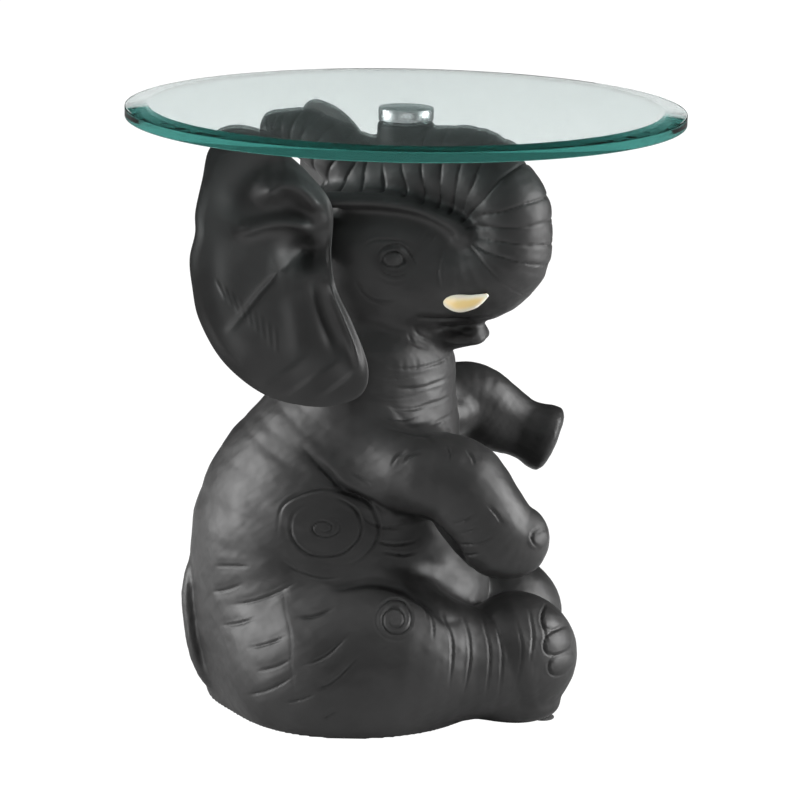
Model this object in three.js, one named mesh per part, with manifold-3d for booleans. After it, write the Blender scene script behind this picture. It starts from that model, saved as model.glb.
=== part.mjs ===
// Side table: a seated elephant cast in hollow resin carries a round bevelled glass top on its trunk.
// Millimetres, +Z up. The origin is on the floor, on the axis of the glass top. The elephant faces +X.
import * as THREE from 'three';
import { ParametricGeometry } from 'three/addons/geometries/ParametricGeometry.js';
import { mergeVertices } from 'three/addons/utils/BufferGeometryUtils.js';
import Module from 'manifold-3d';

const wasm = await Module();
wasm.setup();

// ---- Driving dimensions ----
const HEIGHT = 500;          // floor to the top of the glass
const TOP_DIAMETER = 457;    // glass top
const GLASS_THICKNESS = 10;
const BEVEL_WIDTH = 19;
const BEVEL_DROP = 1.5;
const GLASS_ARRIS = 0.6;     // ground-off edges of the rim
const DISC_DIAMETER = 45;    // turned metal disc bonded under the glass
const DISC_THICKNESS = 10;
const DISC_CHAMFER = 0.6;
const WASHER_DIAMETER = 43;
const WASHER_THICKNESS = 1.5;
const POST_DIAMETER = 46.5;  // post cast with the trunk
const POST_DEPTH = 32;       // how far the post reaches down into the trunk
const POST_FLARE = 2.5;      // how much wider its foot is, all round
const POST_SHOULDER = 2;     // radius of its top edge
const STUD_DIAMETER = 10;    // M10 stud under the disc
const STUD_LENGTH = 24;
const STUD_SEAT = 4;         // stud length held in the disc
const INSERT_DIAMETER = 16;  // threaded insert bonded in the post
const INSERT_LENGTH = 24;
const THREAD_CLEARANCE = 0.35;
const WALL = 8;              // wall of the casting
const SEAM_X = -90;          // plane where the rear casting meets the front one
const SEAM_TOP = 325;        // the rear casting ends below this height
const GAP = 0.3;             // glue line between bonded pieces
const PLATE_THICKNESS = 4;   // base plate that closes the casting
const PLATE_LENGTH = 176;    // along X
const PLATE_WIDTH = 150;
const PLATE_X = -45;         // its centre
const PLATE_LEDGE = 7;       // width and height of the ledge that it is glued to
const PAD_DIAMETER = 20;     // foot pads
const PAD_THICKNESS = 1.5;
const EAR_THICKNESS = 9;
const EAR_PEG_DIAMETER = 14; // peg that locates an ear on the head
const EAR_PEG_LENGTH = 22;
const HEAD_YAW = THREE.MathUtils.degToRad(17); // head turned towards -Y
const FINE_SIDES = 72;       // sides of the glass
const SIDES = 32;            // sides of the other turned pieces

// ---- Heights that follow from them ----
const glassBottom = HEIGHT - GLASS_THICKNESS;
const discTop = glassBottom - GAP;
const discBottom = discTop - DISC_THICKNESS;
const washerTop = discBottom - GAP;
const postTop = washerTop - WASHER_THICKNESS - GAP;
const bodyBottom = PAD_THICKNESS + GAP;
const plateTop = bodyBottom + PLATE_THICKNESS;

// The sculpture below is drawn for a post this high. All its lengths grow with the post.
const DRAWN_POST_TOP = 477.6;
const growth = postTop / DRAWN_POST_TOP;
const drawn = (length) => (Array.isArray(length) ? length.map(drawn) : length * growth);
const drawnEgg = (centre, half) => ({ centre: drawn(centre), half: drawn(half) });
const seamX = drawn(SEAM_X);
const seamTop = drawn(SEAM_TOP);
const plateX = drawn(PLATE_X);
const plateLength = drawn(PLATE_LENGTH);
const plateWidth = drawn(PLATE_WIDTH);

// ---- The sculpture: limbs as stations [x, y, z, side, lift], masses as centre and half sizes ----
const TORSO = drawn([
  [-62, 0, 4, 99, 99], [-65, 0, 50, 105, 107], [-63, 0, 98, 102, 112], [-58, 0, 148, 96, 111],
  [-49, 0, 188, 86, 104], [-36, 0, 224, 78, 90], [-24, 0, 262, 69, 71], [-21, 0, 305, 63, 66],
]);
const HAUNCH = drawnEgg([-42, -70, 46], [102, 69, 79]);
const KNEE = drawnEgg([2, -82, 60], [60, 52, 57]);
const HIND_LEG = drawn([
  [0, -82, 56, 54, 55], [42, -76, 51, 48, 48], [78, -68, 50, 45, 46], [106, -62, 54, 49, 52],
  [126, -60, 56, 53, 56], [137, -60, 57, 49, 52],
]);
const FAR_LEG_SHIFT = { x: drawn(-9), z: drawn(-4) };
const NEAR_ARM = drawn([
  [-24, -62, 213, 34, 38], [15, -76, 211, 33, 36], [47, -84, 206, 35, 37], [66, -87, 182, 34, 36],
  [82, -87, 162, 32, 34], [98, -87, 158, 27, 29],
]);
const FAR_ARM = drawn([
  [0, 44, 226, 32, 36], [36, 60, 238, 31, 32], [62, 66, 239, 29, 30], [84, 68, 223, 28, 29],
  [106, 68, 212, 28, 29], [121, 68, 204, 31, 32],
]);
const TAIL = drawn([
  [-168, -3, 118, 4, 4], [-173, -7, 100, 8, 5], [-174, -12, 74, 10, 6], [-168, -17, 45, 10, 6],
  [-157, -21, 22, 8, 6], [-146, -23, 9, 6, 5],
]);
const SKULL = drawnEgg([-26, 4, 374], [76, 59, 68]);
const BROW = drawnEgg([30, -14, 394], [38, 35, 32]);
const CHEEK = drawnEgg([14, -10, 352], [48, 46, 38]);
const JAW = drawn([
  [0, -4, 312, 26, 16], [28, -12, 312, 22, 12], [48, -19, 315, 17, 9], [58, -22, 317, 12, 6],
]);
const TRUNK = drawn([
  [30, -15, 365, 42, 38], [58, -26, 365, 40, 38], [80, -33, 380, 37, 37], [89, -35, 402, 34, 34],
  [86, -34, 430, 34, 34], [60, -25, 445, 31, 32], [30, -13, 447, 30, 30], [0, -2, 443, 29, 28],
  [-32, 11, 440, 26, 24], [-60, 21, 450, 24, 22], [-86, 31, 459, 22, 18], [-108, 38, 464, 21, 14],
]);
const TUSK = drawn([
  [33, -50, 351, 5, 6], [44, -60, 349, 6, 7.5], [55, -65, 351, 5.5, 6.5], [64, -68, 356, 3, 3.5],
]);
const EAR = {
  // Outline in X and Z, from the root down the front edge and round the back.
  outline: drawn([
    [-58, 385], [-53, 360], [-40, 333], [-27, 298], [-31, 276], [-52, 267], [-80, 268],
    [-112, 279], [-143, 305], [-162, 338], [-170, 375], [-169, 412], [-162, 450], [-156, 473],
    [-142, 483], [-122, 482], [-100, 473], [-76, 452], [-58, 426],
  ]),
  middle: drawn([-100, 375]),
  // Its middle surface passes through the root and slopes to the back and to the bottom.
  root: drawn([-60, -62, 440]),
  backward: 0.22,
  downward: 0.12,
  dish: drawn(9),
};
const EAR_ROOT = drawnEgg([-70, -46, 404], [15, 20, 36]);
const FAR_EAR_DROP = drawn(8); // the left ear hangs lower than the right one
const PADS = { rear: drawn([-146, 0]), knee: drawn([-34, -104]), foot: drawn([122, -60]) };

// ---- Solids ----
function solid(geometry) {
  const bare = geometry.clone();
  bare.deleteAttribute('normal');
  bare.deleteAttribute('uv');
  const merged = mergeVertices(bare, 1e-3);
  const index = merged.index.array;
  const kept = [];
  for (let i = 0; i < index.length; i += 3) {
    const [a, b, c] = [index[i], index[i + 1], index[i + 2]];
    if (a !== b && b !== c && c !== a) {
      kept.push(a, b, c);
    }
  }
  const mesh = new wasm.Mesh({
    numProp: 3,
    vertProperties: new Float32Array(merged.attributes.position.array),
    triVerts: new Uint32Array(kept),
  });
  return new wasm.Manifold(mesh);
}

function geometryOf(manifold) {
  const mesh = manifold.getMesh();
  const geometry = new THREE.BufferGeometry();
  geometry.setAttribute('position', new THREE.BufferAttribute(mesh.vertProperties, 3));
  geometry.setIndex(new THREE.BufferAttribute(mesh.triVerts, 1));
  geometry.computeVertexNormals();
  return geometry;
}

const join = (solids) => solids.reduce((whole, next) => whole.add(next));
const cut = (whole, solids) => solids.reduce((rest, next) => rest.subtract(next), whole);

// The same surface with its faces turned round.
function flipped(geometry) {
  const index = geometry.index.array;
  for (let i = 0; i < index.length; i += 3) {
    [index[i + 1], index[i + 2]] = [index[i + 2], index[i + 1]];
  }
  return geometry;
}

// Box between two corners.
function block(low, high) {
  const size = high.map((value, axis) => value - low[axis]);
  const centre = low.map((value, axis) => value + size[axis] / 2);
  return solid(new THREE.BoxGeometry(...size).translate(...centre));
}

// Cylinder that stands on the height bottom, at (x, y).
function column(diameter, height, x, y, bottom) {
  const cylinder = new THREE.CylinderGeometry(diameter / 2, diameter / 2, height, SIDES);
  return solid(cylinder.rotateX(Math.PI / 2).translate(x, y, bottom + height / 2));
}

// Piece turned about Z from a profile of [radius, z].
function turned(profile, sides = SIDES) {
  const points = profile.map(([radius, z]) => new THREE.Vector2(radius, z));
  return solid(new THREE.LatheGeometry(points, sides).rotateX(Math.PI / 2));
}

// Ellipsoid, turned about Z by yaw.
function eggGeometry({ centre, half }, grow = 0, yaw = 0, around = 22, down = 14) {
  const ball = new THREE.SphereGeometry(1, around, down).rotateX(Math.PI / 2);
  ball.scale(...half.map((value) => value + grow));
  return ball.rotateZ(yaw).translate(...centre);
}

const egg = (...options) => solid(eggGeometry(...options));

// Limb: an oval section that follows a smooth curve through its stations. side is the section's
// half size along Y and lift its half size across that; each end is a dome whose length is the
// section's smaller half size times the end's flatness.
function limbGeometry(stations, { grow = 0, ends = [1, 1], around = 18, along = 14 }) {
  const DOME = 0.2; // share of v that each dome takes
  const centres = new THREE.CatmullRomCurve3(
    stations.map(([x, y, z]) => new THREE.Vector3(x, y, z)));
  const sizes = new THREE.CatmullRomCurve3(
    stations.map(([, , , side, lift]) => new THREE.Vector3(side, lift, 0)));
  const surface = (u, v, target) => {
    const t = THREE.MathUtils.clamp((v - DOME) / (1 - 2 * DOME), 0, 1);
    const tangent = centres.getTangent(t);
    const size = sizes.getPoint(t).addScalar(grow);
    const across = new THREE.Vector3(0, 1, 0).addScaledVector(tangent, -tangent.y).normalize();
    const up = new THREE.Vector3().crossVectors(tangent, across);
    const inDome = Math.max(1 - v / DOME, 0, 1 - (1 - v) / DOME) * Math.PI / 2;
    const reach = Math.sin(inDome) * Math.min(size.x, size.y) * (v < 0.5 ? -ends[0] : ends[1]);
    target.copy(centres.getPoint(t))
      .addScaledVector(across, Math.cos(u * 2 * Math.PI) * size.x * Math.cos(inDome))
      .addScaledVector(up, Math.sin(u * 2 * Math.PI) * size.y * Math.cos(inDome))
      .addScaledVector(tangent, reach);
  };
  return new ParametricGeometry(surface, around, along);
}

const limb = (stations, options = {}) => solid(limbGeometry(stations, options));

// ---- The casting ----
const mirrored = ({ centre: [x, y, z], half }) => ({ centre: [x, -y, z], half });

const farLeg = HIND_LEG.map(([x, y, z, side, lift]) => (
  [x + FAR_LEG_SHIFT.x, -y, z + FAR_LEG_SHIFT.z, side, lift]));

// Main masses, which the inside of the casting follows one wall further in, more coarsely.
function masses(grow, around, down) {
  return join([
    limb(TORSO, { grow, around, along: down, ends: [0.1, 0.4] }),
    egg(HAUNCH, grow, 0, around, down),
    egg(mirrored(HAUNCH), grow, 0, around, down),
    egg(KNEE, grow, 0, around, down),
    egg(mirrored(KNEE), grow, 0, around, down),
    egg(SKULL, grow, -HEAD_YAW, around, down),
  ]);
}

// Outside of the casting, without ears and tusks.
function skin(grow = 0) {
  return join([
    masses(grow, 22, 14),
    limb(HIND_LEG, { grow, ends: [0.6, 0.25] }),
    limb(farLeg, { grow, ends: [0.6, 0.25] }),
    limb(NEAR_ARM, { grow, ends: [0.6, 0.9] }),
    limb(FAR_ARM, { grow, ends: [0.6, 0.2] }),
    limb(TAIL, { grow, around: 8, along: 12 }),
    egg(BROW, grow, -HEAD_YAW, 18, 10),
    egg(CHEEK, grow, -HEAD_YAW, 18, 10),
    limb(JAW, { grow, around: 14, along: 9 }),
    limb(TRUNK, { grow, along: 26, ends: [0.6, 0.2] }),
  ]);
}

// Post with a rounded shoulder, flared a little where it runs down into the trunk.
function post() {
  const radius = POST_DIAMETER / 2;
  const foot = postTop - POST_DEPTH;
  const shoulder = [0, 30, 60, 90].map(THREE.MathUtils.degToRad).map((angle) => [
    radius - POST_SHOULDER * (1 - Math.cos(angle)),
    postTop - POST_SHOULDER * (1 - Math.sin(angle)),
  ]);
  return turned([
    [0, foot], [radius + POST_FLARE, foot], [radius, postTop - POST_DEPTH / 2],
    ...shoulder, [0, postTop],
  ]);
}

// Oval that lies flat round the base plate's centre.
function oval(length, width, bottom, top) {
  const cylinder = new THREE.CylinderGeometry(0.5, 0.5, top - bottom, SIDES).rotateX(Math.PI / 2);
  return solid(cylinder.scale(length, width, 1).translate(plateX, 0, (bottom + top) / 2));
}

// Inside of the casting, open at the bottom, with the rebate for the base plate.
function hollow() {
  const far = 2 * HEIGHT;
  const floor = plateTop + GAP + PLATE_LEDGE;
  const below = block([-far, -far, -far], [far, far, floor]);
  return join([
    masses(-WALL, 14, 10).subtract(below),
    oval(plateLength - 2 * PLATE_LEDGE, plateWidth - 2 * PLATE_LEDGE, 0, floor + PLATE_LEDGE),
    oval(plateLength + 2 * GAP, plateWidth + 2 * GAP, 0, plateTop + GAP),
  ]);
}

// ---- Ears and tusks ----
// Ear: a shell of even thickness over its outline, dished towards the head, with a rounded rim.
function earSheet() {
  const points = EAR.outline.map(([x, z]) => new THREE.Vector3(x, 0, z));
  const outline = new THREE.CatmullRomCurve3(points, true, 'catmullrom', 0.5);
  const [middleX, middleZ] = EAR.middle;
  const [rootX, rootY, rootZ] = EAR.root;
  const surface = (u, v, target) => {
    const rim = outline.getPoint(u);
    const angle = v * Math.PI;
    const spread = Math.sin(angle) ** 0.6;
    const x = middleX + (rim.x - middleX) * spread;
    const z = middleZ + (rim.z - middleZ) * spread;
    const slope = EAR.backward * (x - rootX) + EAR.downward * (z - rootZ);
    const dish = EAR.dish * (1 - spread * spread);
    target.set(x, rootY + slope + dish - EAR_THICKNESS / 2 * Math.cos(angle), z);
  };
  return new ParametricGeometry(surface, 32, 10);
}

// Peg from an ear's root into the head, square to the head's side.
function earPeg(grow) {
  const length = EAR_PEG_LENGTH + 2 * grow;
  const radius = EAR_PEG_DIAMETER / 2 + grow;
  const peg = new THREE.CylinderGeometry(radius, radius, length, 20);
  const [x, y, z] = EAR_ROOT.centre;
  return peg.translate(0, EAR_PEG_LENGTH / 2, 0).rotateZ(-HEAD_YAW).translate(x, y, z);
}

// The head's left side mirrors its right side across the plane that the head looks along.
function toLeftOfHead(geometry, drop = 0) {
  const [x, y] = SKULL.centre;
  const left = new THREE.Vector3(Math.sin(HEAD_YAW), Math.cos(HEAD_YAW), 0);
  const copy = geometry.clone();
  const position = copy.attributes.position;
  const point = new THREE.Vector3();
  for (let i = 0; i < position.count; i += 1) {
    point.fromBufferAttribute(position, i);
    const distance = (point.x - x) * left.x + (point.y - y) * left.y;
    point.addScaledVector(left, -2 * distance);
    position.setXYZ(i, point.x, point.y, point.z - drop);
  }
  return flipped(copy);
}

// Ear on either side of the head: place puts its geometry there.
function ear(place, headWithGap) {
  const root = eggGeometry(EAR_ROOT, 0, -HEAD_YAW, 16, 10);
  return solid(place(earSheet()))
    .add(solid(place(root)))
    .subtract(headWithGap)
    .add(solid(place(earPeg(0))));
}

const tusk = (place, grow = 0) => (
  solid(place(limbGeometry(TUSK, { grow, around: 12, along: 12, ends: [1, 1] }))));

const onTheRight = (geometry) => geometry;
const onTheLeft = (geometry) => toLeftOfHead(geometry);
const leftEarPlace = (geometry) => toLeftOfHead(geometry, FAR_EAR_DROP);

// ---- Glass top and its fixing ----
function glassTop() {
  const radius = TOP_DIAMETER / 2;
  const rimTop = HEIGHT - BEVEL_DROP;
  return turned([
    [0, glassBottom], [radius - GLASS_ARRIS, glassBottom], [radius, glassBottom + GLASS_ARRIS],
    [radius, rimTop - GLASS_ARRIS], [radius - GLASS_ARRIS, rimTop],
    [radius - BEVEL_WIDTH, HEIGHT], [0, HEIGHT],
  ], FINE_SIDES);
}

// Turned disc with a blind hole for the stud.
function mountDisc() {
  const radius = DISC_DIAMETER / 2;
  const hole = STUD_DIAMETER / 2 + GAP;
  const holeTop = discBottom + STUD_SEAT + GAP;
  return turned([
    [0, holeTop], [hole, holeTop], [hole, discBottom],
    [radius - DISC_CHAMFER, discBottom], [radius, discBottom + DISC_CHAMFER],
    [radius, discTop - DISC_CHAMFER], [radius - DISC_CHAMFER, discTop], [0, discTop],
  ]);
}

const stud = () => column(
  STUD_DIAMETER, STUD_LENGTH, 0, 0, discBottom + STUD_SEAT - STUD_LENGTH);

function softWasher() {
  const hole = column(STUD_DIAMETER + 2, 2 * WASHER_THICKNESS, 0, 0, washerTop - 2 * WASHER_THICKNESS + 1);
  const disc = column(WASHER_DIAMETER, WASHER_THICKNESS, 0, 0, washerTop - WASHER_THICKNESS);
  return disc.subtract(hole);
}

const insertBottom = postTop - GAP - INSERT_LENGTH;

function threadedInsert() {
  const bore = STUD_DIAMETER + 2 * THREAD_CLEARANCE;
  return column(INSERT_DIAMETER, INSERT_LENGTH, 0, 0, insertBottom)
    .subtract(column(bore, 2 * INSERT_LENGTH, 0, 0, insertBottom - INSERT_LENGTH / 2));
}

const insertPocket = () => column(
  INSERT_DIAMETER + 2 * GAP, INSERT_LENGTH * 2, 0, 0, insertBottom - GAP);

// ---- Base ----
const basePlate = () => oval(plateLength, plateWidth, bodyBottom, plateTop);

const padPlaces = [
  PADS.rear,
  PADS.knee,
  [PADS.knee[0], -PADS.knee[1]],
  PADS.foot,
  [PADS.foot[0] + FAR_LEG_SHIFT.x, -PADS.foot[1]],
];

// ---- Assembly ----
const whole = skin();
const grown = skin(GAP);
const floorCut = block([-HEIGHT, -HEIGHT, -HEIGHT], [HEIGHT, HEIGHT, bodyBottom]);
const casting = cut(whole.add(post()), [
  floorCut,
  hollow(),
  insertPocket(),
  solid(onTheRight(earPeg(GAP))),
  solid(leftEarPlace(earPeg(GAP))),
  tusk(onTheRight, GAP),
  tusk(onTheLeft, GAP),
]);
const rearSide = (x) => block([-HEIGHT, -HEIGHT, -HEIGHT], [x, HEIGHT, seamTop]);

const FINISH = {
  resin: { color: 0x343434, roughness: 0.5, metalness: 0 },
  ivory: { color: 0xf1e2b8, roughness: 0.45, metalness: 0 },
  glass: { color: 0xcfe3dc, roughness: 0.05, metalness: 0 },
  steel: { color: 0xc8ccce, roughness: 0.25, metalness: 1 },
  brass: { color: 0xb59a5a, roughness: 0.35, metalness: 1 },
  rubber: { color: 0x1b1b1b, roughness: 0.8, metalness: 0 },
  board: { color: 0x202020, roughness: 0.8, metalness: 0 },
};

const group = new THREE.Group();

function addNode(name, shape, finish) {
  const mesh = new THREE.Mesh(geometryOf(shape), new THREE.MeshStandardMaterial(finish));
  mesh.name = name;
  group.add(mesh);
}

addNode('front_shell', casting.subtract(rearSide(seamX + GAP / 2)), FINISH.resin);
addNode('rear_shell', casting.intersect(rearSide(seamX - GAP / 2)), FINISH.resin);
addNode('ear_right', ear(onTheRight, grown), FINISH.resin);
addNode('ear_left', ear(leftEarPlace, grown), FINISH.resin);
addNode('tusk_right', tusk(onTheRight), FINISH.ivory);
addNode('tusk_left', tusk(onTheLeft), FINISH.ivory);
addNode('threaded_insert', threadedInsert(), FINISH.brass);
addNode('stud', stud(), FINISH.steel);
addNode('soft_washer', softWasher(), FINISH.rubber);
addNode('mount_disc', mountDisc(), FINISH.steel);
addNode('glass_top', glassTop(), FINISH.glass);
addNode('base_plate', basePlate(), FINISH.board);
padPlaces.forEach(([x, y], index) => {
  addNode(`pad_${index + 1}`, column(PAD_DIAMETER, PAD_THICKNESS, x, y, 0), FINISH.rubber);
});

export default group;
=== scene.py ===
"""Looks of a side table: a seated elephant cast in black resin carries a round glass top on its trunk.

The shapes are worked out in millimetres in the shared frame, and the finished meshes are in metres.
"""
import sys
import logging
import math
from dataclasses import dataclass, field
from enum import Enum

import bmesh
import bpy
import numpy as np
from mathutils import Matrix, Vector


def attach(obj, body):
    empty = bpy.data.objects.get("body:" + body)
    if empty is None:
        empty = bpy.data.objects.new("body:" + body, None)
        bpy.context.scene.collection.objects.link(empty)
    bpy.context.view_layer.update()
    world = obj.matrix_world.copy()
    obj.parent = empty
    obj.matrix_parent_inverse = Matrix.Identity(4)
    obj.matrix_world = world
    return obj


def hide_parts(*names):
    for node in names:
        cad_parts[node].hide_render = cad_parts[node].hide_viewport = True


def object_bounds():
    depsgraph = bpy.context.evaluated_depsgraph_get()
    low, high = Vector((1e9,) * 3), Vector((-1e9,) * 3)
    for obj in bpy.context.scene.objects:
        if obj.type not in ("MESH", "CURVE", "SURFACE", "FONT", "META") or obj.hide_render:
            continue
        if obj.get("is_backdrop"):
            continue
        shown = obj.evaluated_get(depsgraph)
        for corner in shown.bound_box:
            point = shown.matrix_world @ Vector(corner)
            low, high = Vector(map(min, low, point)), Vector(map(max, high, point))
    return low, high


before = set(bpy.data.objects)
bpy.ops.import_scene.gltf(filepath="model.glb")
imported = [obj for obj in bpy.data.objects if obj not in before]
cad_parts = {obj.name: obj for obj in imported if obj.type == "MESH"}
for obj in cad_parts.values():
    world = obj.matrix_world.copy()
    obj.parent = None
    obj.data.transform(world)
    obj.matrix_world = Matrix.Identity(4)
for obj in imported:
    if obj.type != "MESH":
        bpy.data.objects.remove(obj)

MM = 0.001
# Height of the top of the post on the trunk, in millimetres.
POST_TOP = 477.6
# A limb whose last end bulges less than this share is cut by a flat lens there.
CUT_END = 0.5
Array = np.ndarray
Faces = np.ndarray
log = logging.getLogger("side_table")


# ---------------------------------------------------------------------------------------------
# Curves and small formulas
# ---------------------------------------------------------------------------------------------
def curve_at(padded: Array, t: Array) -> Array:
    """Catmull-Rom curve through all of the padded stations but the outer ones.

    Between stations b and c, with neighbours a and d, the curve is
    (2b + (c - a) f + (2a - 5b + 4c - d) f^2 + (3b - a - 3c + d) f^3) / 2.

    Args:
        padded: One row for each station, with any number of columns.
        t: Places on the curve, counted in stations from the second row.

    Returns:
        One row for each place.
    """
    i = np.minimum(t.astype(int), len(padded) - 4)
    f = (t - i)[:, None]
    a, b, c, d = (padded[i + k] for k in range(4))
    return 0.5 * (2 * b + (c - a) * f + (2 * a - 5 * b + 4 * c - d) * f**2
                  + (3 * b - a - 3 * c + d) * f**3)


def smooth_path(stations: Array, count: int) -> Array:
    """Evenly counted points on a smooth curve from the first station to the last."""
    padded = np.vstack([2 * stations[0] - stations[1], stations, 2 * stations[-1] - stations[-2]])
    return curve_at(padded, np.linspace(0.0, len(stations) - 1, count))


def closed_path(stations: Array, count: int) -> Array:
    """Evenly counted points on a smooth loop through the stations, the first not repeated."""
    around = np.vstack([stations[-1:], stations, stations[:2]])
    return curve_at(around, np.linspace(0.0, len(stations), count, endpoint=False))


def ease(values: Array, low: float, high: float) -> Array:
    """Smooth step from 0 at low to 1 at high: t^2 (3 - 2t)."""
    t = np.clip((values - low) / (high - low), 0.0, 1.0)
    return t * t * (3.0 - 2.0 * t)


def fillet(first: Array, second: Array, blend: float) -> Array:
    """Extra depth where distances a and b are close: h^2 blend / 4, h = max(blend - |a - b|, 0) / blend."""
    h = np.maximum(blend - np.abs(first - second), 0.0) / blend
    return h * h * blend * 0.25


def groove(distance: Array, width: float) -> Array:
    """Carved line with a raised lip on both sides: -(1 - 1.3 q) exp(-q), q = (distance / width)^2."""
    q = (distance / width) ** 2
    return -(1.0 - 1.3 * q) * np.exp(-q)


def ripple(points: Array, size: float, seed: float) -> Array:
    """Smooth pseudo-noise from -1 to 1: a sum of sines over turned axes, about size mm across."""
    x, y, z = (points * (2.0 * np.pi / size)).T
    total = np.zeros(len(points))
    for k in range(4):
        turn = seed + 1.7 * k
        a = 0.62 * x * math.cos(turn) + 0.71 * y * math.sin(turn) + 0.53 * z * math.cos(2.3 * turn)
        b = 0.57 * x * math.sin(turn) - 0.66 * y * math.cos(turn) + 0.74 * z * math.sin(1.9 * turn)
        total += np.sin(a + 1.3 * np.sin(b + turn)) * 0.25
    return total


def line_distance(points: Array, path: Array) -> tuple[Array, Array]:
    """Distance from points to a line of straight pieces, and where along it the nearest point is.

    Args:
        points: N rows of coordinates.
        path: M rows of coordinates of the same kind.

    Returns:
        Distances, and the share of the line's pieces passed, from 0 to 1.
    """
    best = np.full(len(points), np.inf)
    along = np.zeros(len(points))
    pieces = len(path) - 1
    for k in range(pieces):
        edge = path[k + 1] - path[k]
        t = np.clip((points - path[k]) @ edge / (edge @ edge), 0.0, 1.0)
        reach = np.linalg.norm(points - path[k] - t[:, None] * edge, axis=1)
        nearer = reach < best
        best = np.where(nearer, reach, best)
        along = np.where(nearer, (k + t) / pieces, along)
    return best, along


# ---------------------------------------------------------------------------------------------
# Solids as distance fields
# ---------------------------------------------------------------------------------------------
@dataclass
class Egg:
    """Ellipsoid, turned about Z."""

    centre: tuple[float, float, float]
    half: tuple[float, float, float]
    yaw: float = 0.0

    def bounds(self) -> tuple[Array, Array]:
        """Lowest and highest corner of a box that holds the ellipsoid."""
        reach = np.full(3, max(self.half))
        return np.array(self.centre) - reach, np.array(self.centre) + reach

    def distance(self, points: Array) -> Array:
        """Signed distance k0 (k0 - 1) / k1, with k0 = |p / half| and k1 = |p / half^2|."""
        x, y, z = (points - np.array(self.centre, np.float32)).T
        c, s = math.cos(self.yaw), math.sin(self.yaw)
        u, v = c * x + s * y, c * y - s * x
        a, b, d = self.half
        k0 = np.sqrt((u / a) ** 2 + (v / b) ** 2 + (z / d) ** 2)
        k1 = np.sqrt((u / a**2) ** 2 + (v / b**2) ** 2 + (z / d**2) ** 2)
        return k0 * (k0 - 1.0) / np.maximum(k1, 1e-6)


@dataclass
class Limb:
    """Oval section along a smooth curve, with domed or flat ends.

    Attributes:
        stations: Rows of x, y, z and the half sizes sideways and upwards.
        ends: Bulge of the first and the last end, as a share of the smaller half size.
        pieces: How many straight pieces the curve is worked out in.
        flat_pieces: How many of the last pieces a flat last end may cut.
        end_round: Width of the rounding at a flat last end.
        samples: The stations at both ends of each piece.
    """

    stations: list[tuple[float, float, float, float, float]]
    ends: tuple[float, float] = (1.0, 1.0)
    pieces: int = 18
    flat_pieces: int = 5
    end_round: float = 16.0
    samples: Array = field(init=False)

    def __post_init__(self) -> None:
        """Works out the sampled centres and half sizes."""
        self.samples = smooth_path(np.array(self.stations, float), self.pieces + 1)

    def bounds(self) -> tuple[Array, Array]:
        """Lowest and highest corner of a box that holds the limb."""
        reach = self.samples[:, 3:].max(axis=1)[:, None]
        centres = self.samples[:, :3]
        return (centres - reach).min(axis=0), (centres + reach).max(axis=0)

    def distance(self, points: Array) -> Array:
        """Signed distance: the least over the pieces of d - d / k.

        d is the distance to the nearest point of the piece, and k is the length of the same
        offset measured in half sizes: across, up and, past the ends, along the curve.
        """
        best = np.full(len(points), 1e3, np.float32)
        for k in range(self.pieces):
            start, stop = self.samples[k].astype(np.float32), self.samples[k + 1].astype(np.float32)
            edge = stop[:3] - start[:3]
            tangent = edge / np.linalg.norm(edge)
            across = np.array([0, 1, 0], np.float32) - tangent[1] * tangent
            across /= np.linalg.norm(across)
            up = np.cross(tangent, across)
            offset = points - start[:3]
            t = np.clip(offset @ edge / (edge @ edge), 0.0, 1.0)
            offset = offset - t[:, None] * edge
            side = start[3] + t * (stop[3] - start[3])
            lift = start[4] + t * (stop[4] - start[4])
            along = offset @ tangent
            flat = np.where(along < 0, self.ends[0] if k == 0 else 1.0,
                            self.ends[1] if k == self.pieces - 1 else 1.0)
            scaled = np.sqrt((offset @ across / side) ** 2 + (offset @ up / lift) ** 2
                             + (along / (flat * np.minimum(side, lift))) ** 2)
            length = np.linalg.norm(offset, axis=1)
            reach = length - length / np.maximum(scaled, 1e-4)
            if self.ends[1] < CUT_END and k >= self.pieces - self.flat_pieces:
                end = self.end_distance(points)
                reach = np.maximum(reach, end) + fillet(reach, end, self.end_round)
            np.minimum(best, reach, out=best)
        return best

    def end_distance(self, points: Array) -> Array:
        """Distance past the flat last end: a lens whose bulge is the flatness times the half size."""
        before, last = self.samples[-2].astype(np.float32), self.samples[-1].astype(np.float32)
        tangent = (last - before)[:3] / np.linalg.norm((last - before)[:3])
        offset = points - last[:3]
        along = offset @ tangent
        radial = np.sum(offset**2, axis=1) - along**2
        bulge = np.sqrt(np.maximum(1.0 - radial / (last[3] * last[4]), 0.0))
        return along - self.ends[1] * min(last[3], last[4]) * bulge

    def station_share(self, points: Array) -> tuple[Array, Array]:
        """Distance to the limb's centre line and the share of its length passed there."""
        return line_distance(points, self.samples[:, :3])


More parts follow.
